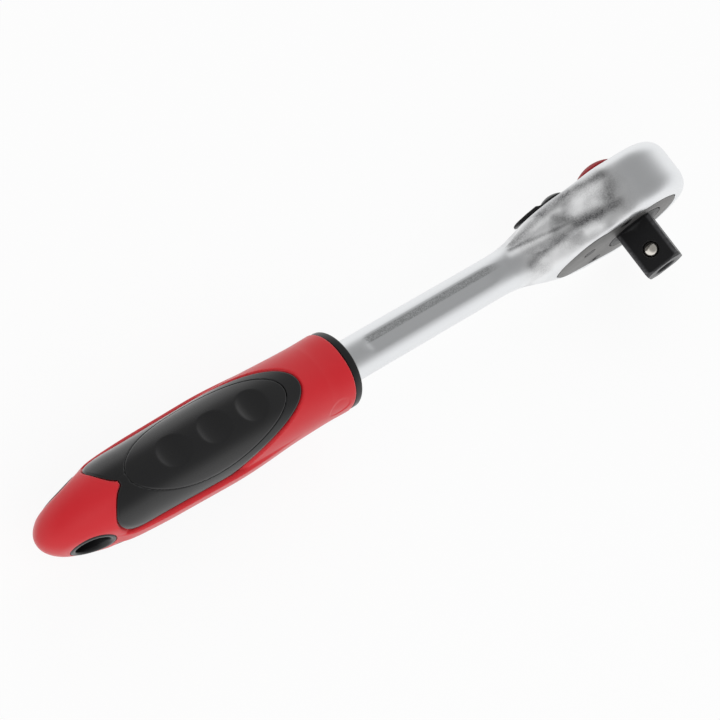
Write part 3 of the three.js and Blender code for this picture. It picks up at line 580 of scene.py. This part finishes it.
def driveGear():
    size = driveSizes
    half = size["square"] / 2
    corner = size["cornerRadius"]
    inner = half - corner
    reach = inner * math.sqrt(2) + corner
    face = plateSizes["face"]
    tip = -face - size["length"]
    hub = reach + size["hubLedge"]
    gear = hub + size["gearShoulder"]
    angle = (np.arange(size["around"]) + 0.5) / size["around"] * math.tau
    turned = angle - driveTurn
    folded = np.abs((turned + math.pi / 4) % (math.pi / 2) - math.pi / 4)
    flat = half / np.cos(folded)
    toward = folded - math.pi / 4
    away = inner * math.sqrt(2)
    rounded = away * np.cos(toward) + np.sqrt(np.maximum(corner ** 2 - (away * np.sin(toward)) ** 2, 0))
    square = np.where(flat * np.sin(folded) > inner, rounded, flat)
    wave = np.abs((angle * size["teeth"] / math.tau) % 1 * 2 - 1)
    teeth = gear - size["toothHeight"] * wave
    whole = np.ones_like(angle)
    levels = [(whole * 0.02, tip), (whole * (half - size["tipRound"] - 0.4), tip)]
    for share in np.linspace(0, 1, 5):
        lift = size["tipRound"] * (1 - math.cos(share * math.pi / 2))
        back = size["tipRound"] * (1 - math.sin(share * math.pi / 2))
        levels.append((np.minimum(square, reach - size["chamferDepth"]) - back, tip + lift))
    for share in np.linspace(0.1, 1, 8):
        cone = reach - size["chamferDepth"] + (size["chamferDepth"] + 0.3) * share
        rise = size["tipRound"] + (size["chamferRise"] - size["tipRound"]) * share
        levels.append((np.minimum(square, cone), tip + rise))
    for y in np.linspace(tip + size["chamferRise"] + 0.8, -face - size["flare"], 12):
        levels.append((square, y))
    for share in np.linspace(0.15, 1, 7):
        turn = share * math.pi / 2
        flare = half + (reach - half) * (1 - math.cos(turn))
        levels.append((np.maximum(square, whole * flare), -face - size["flare"] * (1 - math.sin(turn))))
    edge = size["edge"]
    upper, upperTop, bore = size["upperHub"], size["upperTop"], size["counterbore"]
    gearLow, gearHigh, boreFloor = size["gearLow"], size["gearHigh"], size["counterboreFloor"]
    rings = [(hub - edge, -face), (hub - edge * 0.3, -face + edge * 0.3), (hub, -face + edge),
             (hub, gearLow), (teeth, gearLow), (teeth, gearHigh), (upper, gearHigh),
             (upper, upperTop - edge), (upper - edge, upperTop), (bore + edge, upperTop),
             (bore, upperTop - edge), (bore, boreFloor), (size["rodBore"], boreFloor),
             (size["rodBore"], size["rodRoom"]), (0.02, size["rodRoom"])]
    levels += [(whole * radius, y) for radius, y in rings]
    bm = bmesh.new()
    wear = bm.verts.layers.float.new("wear")
    loftLoops(bm, [[(r * math.sin(a), y, r * math.cos(a)) for r, a in zip(radii, angle)]
                   for radii, y in levels])
    cornerReach, cornerFade = size["wearCorner"]
    tipReach, tipFade = size["wearTip"]
    for vert in bm.verts:
        if vert.co.y < -face - 0.3:
            out = math.hypot(vert.co.x, vert.co.z)
            cornerWear = smoothStep((out - reach + cornerReach) / cornerFade)
            tipWear = smoothStep((tip + tipReach - vert.co.y) / tipFade)
            vert[wear] = float(min(1, cornerWear + 0.8 * tipWear))
    obj = meshObject("square_drive", bm, 35)
    ballFace = Matrix.Rotation(driveTurn, 4, "Y")
    bm = bmesh.new()
    bore, floor = size["ballBore"], size["ballFloor"]
    mouth = bore + size["ballLip"]
    lathe(bm, [(0, floor), (bore, floor), (bore, half - 0.25), (mouth, half + 0.1), (mouth, half + 2),
               (0, half + 2)], 64)
    turn = ballFace @ Matrix.Translation((0, size["ballY"], 0)) @ Matrix.Rotation(math.pi / 2, 4, "X")
    bmesh.ops.transform(bm, matrix=turn, verts=bm.verts)
    ballHole = meshObject("ball_hole", bm, 40)
    hollow = boreProfile(size["recessRadius"], tip - 1, tip + size["recessDepth"], 0.3, tip)
    recess = roundCutter("tip_recess", hollow)
    carve(obj, [ballHole, recess], 35)
    dress(obj, "drive", "black_oxide", "drive_gear")
    bm = bmesh.new()
    bmesh.ops.create_icosphere(bm, subdivisions=5, radius=size["ballRadius"])
    seat = ballFace @ Matrix.Translation((0, size["ballY"], size["ballReach"]))
    bmesh.ops.transform(bm, matrix=seat, verts=bm.verts)
    dress(meshObject("release_ball", bm, 60), "ball", "steel", "detent_ball")


driveGear()


# Push button with a rounded rim and a shallow dome
buttonSizes = {"radius": 6.9, "rise": 4.6, "cap": 2.2, "flange": 0.6, "flangeTop": 9.05, "flangeLow": 8.1,
               "socket": 2.45, "rodTop": 10.75, "rimRound": 0.5, "steps": 96,
               "rimCurve": ((0, 0), (0.04, 0.25), (0.14, 0.45))}


def releaseButton():
    size = buttonSizes
    top = bodySizes["backFace"] + size["rise"]
    curve = (size["radius"] ** 2 + size["cap"] ** 2) / (2 * size["cap"])
    widest = math.degrees(math.asin(size["radius"] / curve))
    cap = arc((0, top - curve), curve, 90 - widest * 0.94, 90, 20)
    edgeY = top - size["cap"] - size["rimRound"]
    rim = [(size["radius"] - cut, edgeY + rise) for cut, rise in size["rimCurve"]]
    socket, low, high = size["socket"], size["flangeLow"], size["flangeTop"]
    flange = size["radius"] + size["flange"]
    profile = [(0, size["rodTop"]), (socket, size["rodTop"]), (socket, low), (flange, low),
               (flange, high), (size["radius"], high), *rim, *cap[:-1], (0, top)]
    bm = bmesh.new()
    lathe(bm, profile, size["steps"])
    dress(meshObject("push_button", bm, 50), "button", "red_plastic", "release_button")


releaseButton()


# Reversing lever: domed hub and a thumb pad thrown to one side
leverSizes = {
    "hubRadius": 4.4, "hubHeight": 2.2, "reach": 14.4, "width": 7.4, "plate": 0.8, "padHeight": 1.5,
    "padStart": 4.8, "padRise": 0.9, "padCrest": 1.5, "neckWidth": 5.9, "tipRadius": 3.1,
    "gap": 0.3, "round": 0.3,
}


def leverPlan(inset):
    size = leverSizes
    tip = size["tipRadius"] - inset
    half = size["width"] / 2 - inset
    neck = size["neckWidth"] / 2 - inset
    padX, tipX = -size["padStart"], -size["reach"] + size["tipRadius"]
    side = [(-inset - 0.4, neck), (-2.0, neck + 0.15), (padX + 0.6, half - 0.25), (padX - 0.4, half),
            (tipX + 2.2, half - 0.15)]
    points = side + arc((tipX, 0), tip, 95, 180, 10)
    return points + [(x, -z) for x, z in points[-2::-1]]


def reversingLever():
    size = leverSizes
    low = bodySizes["backFace"] + size["gap"]
    soft = size["round"]

    plate, crest, start = size["plate"], size["padHeight"], size["padStart"]

    def top(x):
        places = [0, start - size["padRise"], start, start + size["padCrest"], size["reach"]]
        return low + float(np.interp(-x, places, [plate, plate, crest, crest, plate]))

    bm = bmesh.new()
    loops = [[(x, low, z) for x, z in leverPlan(soft)],
             [(x, low + soft * 0.4, z) for x, z in leverPlan(0)],
             [(x, top(x) - soft, z) for x, z in leverPlan(0)],
             [(x, top(x) - soft * 0.3, z) for x, z in leverPlan(soft * 0.3)],
             [(x, top(x), z) for x, z in leverPlan(soft)],
             [(x, top(x), z * 0.45) for x, z in leverPlan(soft)]]
    loftLoops(bm, loops)
    crown = size["hubHeight"] - plate
    curve = (size["hubRadius"] ** 2 + crown ** 2) / (2 * crown)
    widest = math.degrees(math.asin(size["hubRadius"] / curve))
    dome = arc((0, low + size["hubHeight"] - curve), curve, 90 - widest * 0.95, 90, 12)
    hub = bmesh.new()
    lathe(hub, [(0, low), (size["hubRadius"] - 0.2, low), (size["hubRadius"], low + 0.2),
                (size["hubRadius"], low + plate - 0.1), *dome[:-1], (0, low + size["hubHeight"])], 64)
    absorb(bm, hub)
    bmesh.ops.dissolve_degenerate(bm, dist=1e-4, edges=bm.edges)
    thrown = Matrix.Translation((leverX, 0, 0)) @ Matrix.Rotation(-leverThrow, 4, "Y")
    bmesh.ops.transform(bm, matrix=thrown, verts=bm.verts)
    dress(meshObject("thumb_lever", bm, 40), "reverser", "lever_black", "reversing_lever")


reversingLever()


# Grip: an oval body that swells in the middle and ends in a rounded butt
gripSizes = {
    "front": 125.7, "knots": (0, 9, 35, 76),
    "heights": (12.4, 12.25, 12.65, 11.9), "widths": (12.4, 12.5, 15.4, 14.7), "nominalHalf": 15,
    "dome": 30.4, "power": 2.2, "rings": 230, "domeRings": 170,
    "mouth": ((0, 0.45), (0.12, 0.15), (0.35, 0.0)), "windowEdge": 0.4,
    "spineRise": 1.05, "spineStart": 18.0, "spineEnd": 94.0, "spineFade": 28.0, "spineHalf": 3.25,
    "spineSoft": 1.1,
    "panelStart": 17.0, "panelEnd": 87.7, "notch": 4.9, "notchHalf": 0.8, "lobeHalf": 7.8, "bulge": 6.2,
    "frontRun": 11.0, "frontHalf": 11.6, "shoulder": 52.0, "past": 0.4,
    "taperFrom": 4.0, "panelFloor": 3.2, "panelDrop": 2.0, "seam": 0.14,
    "panelRows": 120, "panelColumns": 170, "panelThick": 1.2, "edgeDrop": 0.4, "edgeWidth": 0.7,
    "wellEdge": 0.04, "wellSoft": 0.3, "groovePast": (0.4, 1.0), "grooveFade": (0.6, 0.8),
    "grooveDepth": 0.16, "grooveOut": 1.5, "grooveHalf": 0.22,
    "insetMargin": 6.2, "insetTail": 7.7, "insetHalf": 10.8, "insetDrop": 1.2,
    "insetGap": 0.06, "insetRings": 72, "insetAround": 200, "insetRound": 0.22, "insetEdge": 0.4,
    "insetThick": 0.9, "dimpleBlend": 0.15,
    "dimplePitch": 14.55, "dimpleCentre": 49.7, "dimpleDepth": 1.2, "dimpleRound": 13.0, "dimpleFlat": 22.0,
    "hangFromEnd": 13.2, "hangHole": 4.9, "hangRim": 6.5, "dishDepth": 1.3, "dishRadius": 10.5,
    "dishBlend": 1.6, "rimProud": 0.15, "rimGap": 0.12, "cutReach": 20,
    "lips": (("hangHole", 0, -1.4), ("hangHole", 0.02, -0.6), ("hangHole", 0.2, -0.16),
             ("hangHole", 0.55, 0.02), ("hangRim", -0.6, 0.04), ("hangRim", -0.2, -0.06),
             ("hangRim", 0, -0.35), ("hangRim", 0, -2.2)),
    "collarStart": 122.8, "collarWidth": 2.6, "collarRadius": 12.3,
    "collarFront": 0.55, "collarRear": 0.25, "collarGap": 0.25, "collarChamfer": 0.4,
    "padX": -131.8, "padZ": 4.6, "padLong": 4.2, "padWide": 3.0, "padDepth": 0.22,
    "padSoft": 0.14,
}
hangX = -(gripSizes["front"] + gripSizes["knots"][3] + gripSizes["dome"] - gripSizes["hangFromEnd"])


def gripX(along):
    return -gripSizes["front"] - along


# Half height and half width along the grip, a smooth curve through four stations
def gripHalf(along, name):
    knots = np.array(gripSizes["knots"], float)
    value = np.array(gripSizes[name], float)
    along = np.clip(along, 0, knots[-1])
    span = np.clip(np.searchsorted(knots, along, side="left") - 1, 0, len(knots) - 2)
    t = (along - knots[span]) / (knots[span + 1] - knots[span])
    before = value[np.maximum(span - 1, 0)]
    a, b = value[span], value[span + 1]
    after = value[np.minimum(span + 2, len(knots) - 1)]
    v0, v1 = (b - before) / 2, (after - a) / 2
    return (2 * a - 2 * b + v0 + v1) * t ** 3 + (-3 * a + 3 * b - 2 * v0 - v1) * t ** 2 + v0 * t + a


def gripSection(x):
    along = -x - gripSizes["front"]
    over = np.clip((along - gripSizes["knots"][3]) / gripSizes["dome"], 0, 1)
    shrink = np.sqrt(1 - over ** 2)
    return gripHalf(along, "heights") * shrink, gripHalf(along, "widths") * shrink


# Height of an oval section's edge away from the middle
def ovalHeight(peak, reach, away):
    power = gripSizes["power"]
    share = np.clip(np.abs(away) / np.maximum(reach, 1e-6), 0, 1)
    return peak * (1 - share ** power) ** (1 / power)


# Height of the grip's side above its middle plane
def gripSide(x, y):
    tall, wide = gripSection(x)
    return ovalHeight(wide, tall, y)


def gripTop(x, z):
    tall, wide = gripSection(x)
    return ovalHeight(tall, wide, z)


def curvePoints(points, count):
    t = np.linspace(0, 1, count, endpoint=False)[:, None]
    p = [np.array(point, float) for point in points]
    if len(p) == 3:
        return (1 - t) ** 2 * p[0] + 2 * t * (1 - t) * p[1] + t ** 2 * p[2]
    return (1 - t) ** 3 * p[0] + 3 * t * (1 - t) ** 2 * p[1] + 3 * t ** 2 * (1 - t) * p[2] + t ** 3 * p[3]


# Front edge and back edge of the panel's upper half, from the middle line to its widest point
def panelEdges(inset):
    size = gripSizes
    half = size["heights"][2] + size["past"] - inset
    lobe = size["lobeHalf"] - inset
    front = gripX(size["panelStart"] + inset)
    bend = gripX(size["panelStart"] + size["frontRun"])
    back = gripX(size["panelEnd"] - inset)
    notch = gripX(size["panelEnd"] - size["notch"] - inset)
    shoulder = gripX(size["shoulder"])
    tailAlong = size["knots"][3] - size["taperFrom"]
    tail = gripX(tailAlong)
    tailHalf = float(gripHalf(np.array(tailAlong), "heights")) + size["past"] - inset
    turn = [(front, 0), (front, size["bulge"] - inset), (bend, size["frontHalf"] - inset), (shoulder, half)]
    frontEdge = np.vstack([curvePoints(turn, 60), [(shoulder, half)]])
    straight = np.linspace((tail, tailHalf), (shoulder, half), 24)
    lip = curvePoints([(notch, size["notchHalf"]), (back + 1.6, 2.6), (back, lobe)], 12)
    corner = curvePoints([(back, lobe), (back, tailHalf), (tail, tailHalf)], 24)
    backEdge = np.vstack([[(notch, 0)], lip, corner, straight])
    return frontEdge, backEdge


def panelOutline(inset):
    frontEdge, backEdge = panelEdges(inset)
    upper = np.vstack([frontEdge, backEdge[::-1][1:]])
    return np.vstack([upper, (upper * (1, -1))[::-1]])


# Distance to a closed outline, positive inside
def insideBy(x, y, outline):
    points = np.stack([np.ravel(x), np.ravel(y)], axis=1)
    best = np.full(len(points), 1e9)
    inside = np.zeros(len(points), bool)
    for a, b in zip(outline, np.roll(outline, -1, axis=0)):
        step = b - a
        length = max(float(step @ step), 1e-12)
        t = np.clip(((points - a) @ step) / length, 0, 1)
        gap = points - a - t[:, None] * step
        best = np.minimum(best, np.einsum("ij,ij->i", gap, gap))
        if a[1] != b[1]:
            crosses = (a[1] > points[:, 1]) != (b[1] > points[:, 1])
            reachX = a[0] + (points[:, 1] - a[1]) / (b[1] - a[1]) * step[0]
            inside ^= crosses & (points[:, 0] < reachX)
    return (np.sqrt(best) * np.where(inside, 1, -1)).reshape(np.shape(x))


# Middle and half length of the oval inset
def insetSpan():
    start = gripX(gripSizes["panelStart"] + gripSizes["insetMargin"])
    end = gripX(gripSizes["panelEnd"] - gripSizes["insetTail"])
    return (start + end) / 2, (start - end) / 2


# Rough distance to the inset's edge, positive inside
def insetInside(x, y):
    middle, halfLong = insetSpan()
    halfWide = gripSizes["insetHalf"]
    level = np.sqrt(((x - middle) / halfLong) ** 2 + (y / halfWide) ** 2)
    steepness = np.sqrt(((x - middle) / halfLong ** 2) ** 2 + (y / halfWide ** 2) ** 2)
    return (1 - level) / np.maximum(steepness / np.maximum(level, 1e-6), 1e-6)


# Ceiling of the dish round the hang hole, measured along the hole
def dishCeiling(x, z):
    size = gripSizes
    over = (size["dome"] - size["hangFromEnd"]) / size["dome"]
    half = size["heights"][3] * math.sqrt(1 - over ** 2)
    lean = math.atan2(over * size["heights"][3], math.sqrt(1 - over ** 2) * size["dome"])
    radius = (size["dishRadius"] ** 2 + size["dishDepth"] ** 2) / (2 * size["dishDepth"])
    out = radius - size["dishDepth"]
    flat = (x - hangX + out * math.sin(lean)) ** 2 + z ** 2
    bowl = half + out * math.cos(lean) - np.sqrt(np.maximum(radius ** 2 - flat, 0))
    return np.where(flat < radius ** 2, bowl, 1e3)


# Angles round the grip, closer together along its two spines
def gripAngles():
    near = np.arcsin((np.arange(0.1, 5, 0.2) / gripSizes["nominalHalf"]) ** (gripSizes["power"] / 2))
    far = np.linspace(near[-1], math.pi / 2, 30, endpoint=False)[1:]
    quarter = np.concatenate([near, far])
    half = np.concatenate([quarter, math.pi - quarter[::-1]])
    return np.concatenate([half, half + math.pi])[None, :]


def gripSkin():
    size = gripSizes
    body = np.linspace(0, size["knots"][3], size["rings"], endpoint=False)
    dome = size["knots"][3] + size["dome"] * np.sin(np.linspace(0, math.pi / 2 - 0.012, size["domeRings"]))
    mouth, cut = zip(*size["mouth"])
    along = np.concatenate([mouth, body[2:], dome])[:, None]
    lip = np.concatenate([cut, np.zeros(len(along) - len(cut))])[:, None]
    angle = gripAngles()
    x = gripX(along) + 0 * angle
    tall, wide = gripSection(x)
    y = (tall - lip) * superBend(np.cos(angle), size["power"])
    z = (wide - lip) * superBend(np.sin(angle), size["power"])
    # windows sink under the panels, with a soft edge
    depth = np.minimum(insideBy(x, y, panelOutline(0)), np.abs(z) - size["panelFloor"])
    drop = size["panelDrop"] * smoothStep((depth + size["windowEdge"]) / (2 * size["windowEdge"]))
    # small bare oval pressed into the side near the collar
    pad = np.hypot((x - size["padX"]) / size["padLong"], (z - size["padZ"]) / size["padWide"])
    drop = drop + size["padDepth"] * smoothStep((1 - pad) / size["padSoft"]) * (y < 0)
    sink = 1 - drop / np.maximum(np.sqrt(y * y + z * z), 1)
    run = within(along, size["spineStart"], size["spineEnd"], size["spineFade"], size["spineFade"])
    crest = smoothStep((size["spineHalf"] - np.abs(z)) / size["spineSoft"])
    y, z = y * sink + np.sign(y) * size["spineRise"] * run * crest, z * sink
    dished = softMin(np.abs(y), dishCeiling(x, z), size["dishBlend"])
    y = np.sign(y) * np.where(np.abs(z) < size["dishRadius"] + 2, dished, np.abs(y))
    bm = bmesh.new()
    loftLoops(bm, np.stack([x, y, z], axis=2))
    obj = meshObject("grip_skin", bm, 60)
    hole, far = size["hangRim"] + size["rimGap"], size["cutReach"]
    profile = [(0, -far), (hole, -far), (hole, far), (0, far)]
    carve(obj, [roundCutter("hang_cutter", profile, 96, hangX)], 55)
    dress(obj, "body", "red_grip", "handle_skin")


gripSkin()


# Half height of a panel where it meets the spine
def panelReach(x):
    return gripTop(x, gripSizes["panelFloor"] + gripSizes["seam"])


# Turns a sheet's faces outward and gives it thickness
def thicken(bm, side, thickness):
    bmesh.ops.recalc_face_normals(bm, faces=bm.faces)
    if sum(face.normal.z for face in bm.faces) * side < 0:
        bmesh.ops.reverse_faces(bm, faces=bm.faces)
    bmesh.ops.solidify(bm, geom=bm.faces, thickness=thickness)


# A panel as rows from its back edge to its front edge, laid on the grip's side
def gripPanel(side, name, node):
    size = gripSizes
    rows, columns = size["panelRows"], size["panelColumns"]
    floor = size["panelFloor"] + size["seam"]
    steep = math.asin((floor / size["nominalHalf"]) ** (size["power"] / 2))
    rowAngle = np.linspace(steep, math.pi - steep, rows + 1)
    share = -superBend(np.cos(rowAngle), size["power"]) / math.cos(steep) ** (2 / size["power"])
    ends = []
    for edge in panelEdges(size["seam"]):
        level = edge[:, 1] / panelReach(edge[:, 0])
        stop = int(np.argmax(level > 1)) + 1
        ends.append(np.interp(np.abs(share), level[:stop], edge[:stop, 0]))
    bm = bmesh.new()
    bmesh.ops.create_grid(bm, x_segments=columns, y_segments=rows, size=1)
    for vert in bm.verts:
        row = int(round((vert.co.y + 1) / 2 * rows))
        t = (math.sin(vert.co.x * math.pi / 2) + 1) / 2
        x = ends[1][row] + (ends[0][row] - ends[1][row]) * t
        vert.co = (x, share[row] * float(panelReach(np.array(x))), 0)
    bmesh.ops.remove_doubles(bm, verts=bm.verts, dist=0.004)
    x = np.array([v.co.x for v in bm.verts])
    y = np.array([v.co.y for v in bm.verts])
    z = gripSide(x, y)
    edge = np.minimum(insideBy(x, y, panelOutline(size["seam"])), z - floor)
    drop = size["edgeDrop"] * (1 - np.clip(edge / size["edgeWidth"], 0, 1)) ** 2
    drop += size["insetDrop"] * smoothStep((insetInside(x, y) + size["wellEdge"]) / size["wellSoft"])
    # two short grooves between the inset's tail and the notch
    tailX, notchX = gripX(size["panelEnd"] - size["insetTail"]), gripX(size["panelEnd"] - size["notch"])
    pastNotch, pastTail = size["groovePast"]
    inNeck = within(x, notchX - pastNotch, tailX + pastTail, *size["grooveFade"])
    groove = np.exp(-((np.abs(y) - size["grooveOut"]) / size["grooveHalf"]) ** 2)
    drop += size["grooveDepth"] * inNeck * groove
    sink = 1 - drop / np.maximum(np.sqrt(y * y + z * z), 1)
    for vert, newY, newZ in zip(bm.verts, y * sink, z * sink):
        vert.co.y = newY
        vert.co.z = side * newZ
    thicken(bm, side, size["panelThick"])
    dress(meshObject(name, bm, 70), "body", "black_grip", node)


gripPanel(1, "grip_side_upper", "grip_panel_upper")
gripPanel(-1, "grip_side_lower", "grip_panel_lower")


# Oval thumb pad with a row of dimples
def gripInset(side, name, node):
    size = gripSizes
    middle, halfLong = insetSpan()
    gap = size["insetGap"]
    angle = (np.arange(size["insetAround"]) + 0.5) / size["insetAround"] * math.tau
    loops = []
    for share in np.sin(np.linspace(math.pi / 2, 0.01, size["insetRings"])):
        x = middle + share * (halfLong - gap) * np.cos(angle)
        y = share * (size["insetHalf"] - gap) * np.sin(angle)
        edge = np.clip((insetInside(x, y) - gap) / size["insetEdge"], 0, 1)
        height = gripSide(x, y) - size["insetRound"] * (1 - edge) ** 2
        for step in (-1, 0, 1):
            dimpleAlong = size["dimpleCentre"] + step * size["dimplePitch"]
            dx = (x - gripX(dimpleAlong)) / size["dimpleRound"]
            dy = y / size["dimpleFlat"]
            bowl = np.sqrt(np.maximum(1 - dx ** 2 - dy ** 2, 0)) * size["dimpleRound"]
            crest = float(gripHalf(np.array(dimpleAlong), "widths"))
            floor = crest + size["dimpleRound"] - size["dimpleDepth"] - bowl
            height = softMin(height, floor, size["dimpleBlend"])
        loops.append(np.stack([x, y, side * height], axis=1))
    bm = bmesh.new()
    loftLoops(bm, loops, capStart=False)
    thicken(bm, side, size["insetThick"])
    dress(meshObject(name, bm, 70), "body", "black_grip", node)


gripInset(1, "thumb_pad_upper", "grip_inset_upper")
gripInset(-1, "thumb_pad_lower", "grip_inset_lower")


# Black collar at the front and the rim of the hang hole, as one moulding that stands in for the core
def gripCore():
    size = gripSizes
    start, width, radius = size["collarStart"], size["collarWidth"], size["collarRadius"]
    soft, rearSoft, chamfer = size["collarFront"], size["collarRear"], size["collarChamfer"]
    bm = bmesh.new()
    front = arc((radius - soft, -start - soft), soft, 90, 0, 6)
    rear = arc((radius - rearSoft, -start - width + rearSoft), rearSoft, 0, -90, 4)
    bore = bodySizes["shankRadius"] + size["collarGap"]
    lathe(bm, [(bore, -start - chamfer), (bore + chamfer, -start), (radius - soft - 1.2, -start), *front,
               *rear, (bore, -start - width), (bore, -start - chamfer)], 128, "X")
    rim = bmesh.new()
    angle = (np.arange(96) + 0.5) / 96 * math.tau
    lips = [(size[name] + out, dip) for name, out, dip in size["lips"]]
    loops = []
    for side, order in ((1, lips), (-1, lips[::-1])):
        for radius, dip in order:
            x, z = hangX + radius * np.cos(angle), radius * np.sin(angle)
            level = softMin(gripTop(x, z), dishCeiling(x, z), size["dishBlend"]) + size["rimProud"] + dip
            loops.append(np.stack([x, side * level, z], axis=1))
    loops.append(loops[0])
    loftLoops(rim, loops, False, False)
    bmesh.ops.remove_doubles(rim, verts=rim.verts, dist=1e-4)
    absorb(bm, rim)
    dress(meshObject("collar_and_rim", bm, 50), "body", "black_plastic", "handle_core")


gripCore()
print("pieces made")


# Camera at the photograph's viewing angle
cameraSizes = {"place": (-507.7, -127.5, 616.7), "right": (0.732, -0.585, 0.348),
               "up": (0.427, 0.793, 0.435), "focalPixels": 2510, "imagePixels": 720, "sensor": 36}


def makeCamera():
    size = cameraSizes
    data = bpy.data.cameras.new("photo_camera")
    data.sensor_width = size["sensor"]
    data.lens = size["focalPixels"] / size["imagePixels"] * size["sensor"]
    data.clip_end = 20
    obj = addObject("photo_camera", data)
    right = Vector(size["right"]).normalized()
    back = right.cross(Vector(size["up"])).normalized()
    up = back.cross(right)
    turn = Matrix((right, up, back)).transposed().to_4x4()
    obj.matrix_world = Matrix.Translation(toMetres @ Vector(size["place"])) @ turn
    bpy.context.scene.camera = obj


makeCamera()


# Studio: white floor, white surround and large soft lights
studioSizes = {
    "floorSize": 6.0, "floorShare": 0.9, "aim": (0, 0, 0.02),
    "sky": ((0.0, 1.0), (0.2, 0.9), (0.4, 0.62), (0.62, 0.38), (1.0, 0.33)),
    "lights": (("key", (-0.35, -0.55, 0.9), 1.0, 4.6), ("fill", (0.4, 0.5, 0.8), 0.9, 1.8)),
}


# Rays from the camera, from shiny surfaces and through clear ones
def seenRays(paint):
    path = paint.node("ShaderNodeLightPath").socket.node
    kinds = ("Camera", "Glossy", "Transmission")
    return [Wire(paint, path.outputs[f"Is {kind} Ray"]) for kind in kinds]


def makeFloor():
    bm = bmesh.new()
    bmesh.ops.create_grid(bm, x_segments=2, y_segments=2, size=studioSizes["floorSize"])
    mesh = bpy.data.meshes.new("floor")
    bm.to_mesh(mesh)
    bm.free()
    obj = addObject("floor", mesh)
    paint = Paint("floor_white")
    paint.finish({"Base Color": (0.98, 0.98, 0.98), "Roughness": 0.8, "Specular IOR Level": 0.1})
    rays, glossy, through = seenRays(paint)
    white = paint.node("ShaderNodeEmission", {}, {"Color": (1, 1, 1), "Strength": 1.0})
    share = studioSizes["floorShare"] * (rays + glossy + through)
    plain = Wire(paint, paint.shader.outputs[0])
    mixed = paint.node("ShaderNodeMixShader", {}, {0: share, 1: plain, 2: white})
    ending = next(n for n in paint.tree.nodes if n.type == "OUTPUT_MATERIAL")
    paint.join(ending.inputs["Surface"], mixed)
    mesh.materials.append(paint.material)


# White to the camera; as light, white at eye level and greyer overhead
class Sky(Paint):
    def __init__(self, world):
        world.use_nodes = True
        self.tree = world.node_tree
        self.shader = next(n for n in self.tree.nodes if n.type == "BACKGROUND")


def makeWorld():
    world = bpy.data.worlds.new("studio")
    bpy.context.scene.world = world
    sky = Sky(world)
    direction = sky.node("ShaderNodeTexCoord", outlet="Generated")
    height = sky.node("ShaderNodeSeparateXYZ", {}, {0: direction}, "Z")
    grey = sky.ramp(height, *studioSizes["sky"])
    rays = seenRays(sky)[0]
    sky.join(sky.shader.inputs["Color"], sky.blend(rays, grey, (1.0, 1.0, 1.0)))
    sky.shader.inputs["Strength"].default_value = 1.0


def softLight(name, place, side, power):
    data = bpy.data.lights.new(name, "AREA")
    data.shape = "RECTANGLE"
    data.size = data.size_y = side
    data.energy = power
    obj = addObject(name, data)
    obj.location = place
    toward = Vector(studioSizes["aim"]) - Vector(place)
    obj.rotation_euler = toward.to_track_quat("-Z", "Y").to_euler()
    obj.visible_camera = False
    obj.visible_glossy = False


makeFloor()
makeWorld()
for light in studioSizes["lights"]:
    softLight(*light)
bpy.context.scene.view_settings.view_transform = "Standard"
print("studio made")
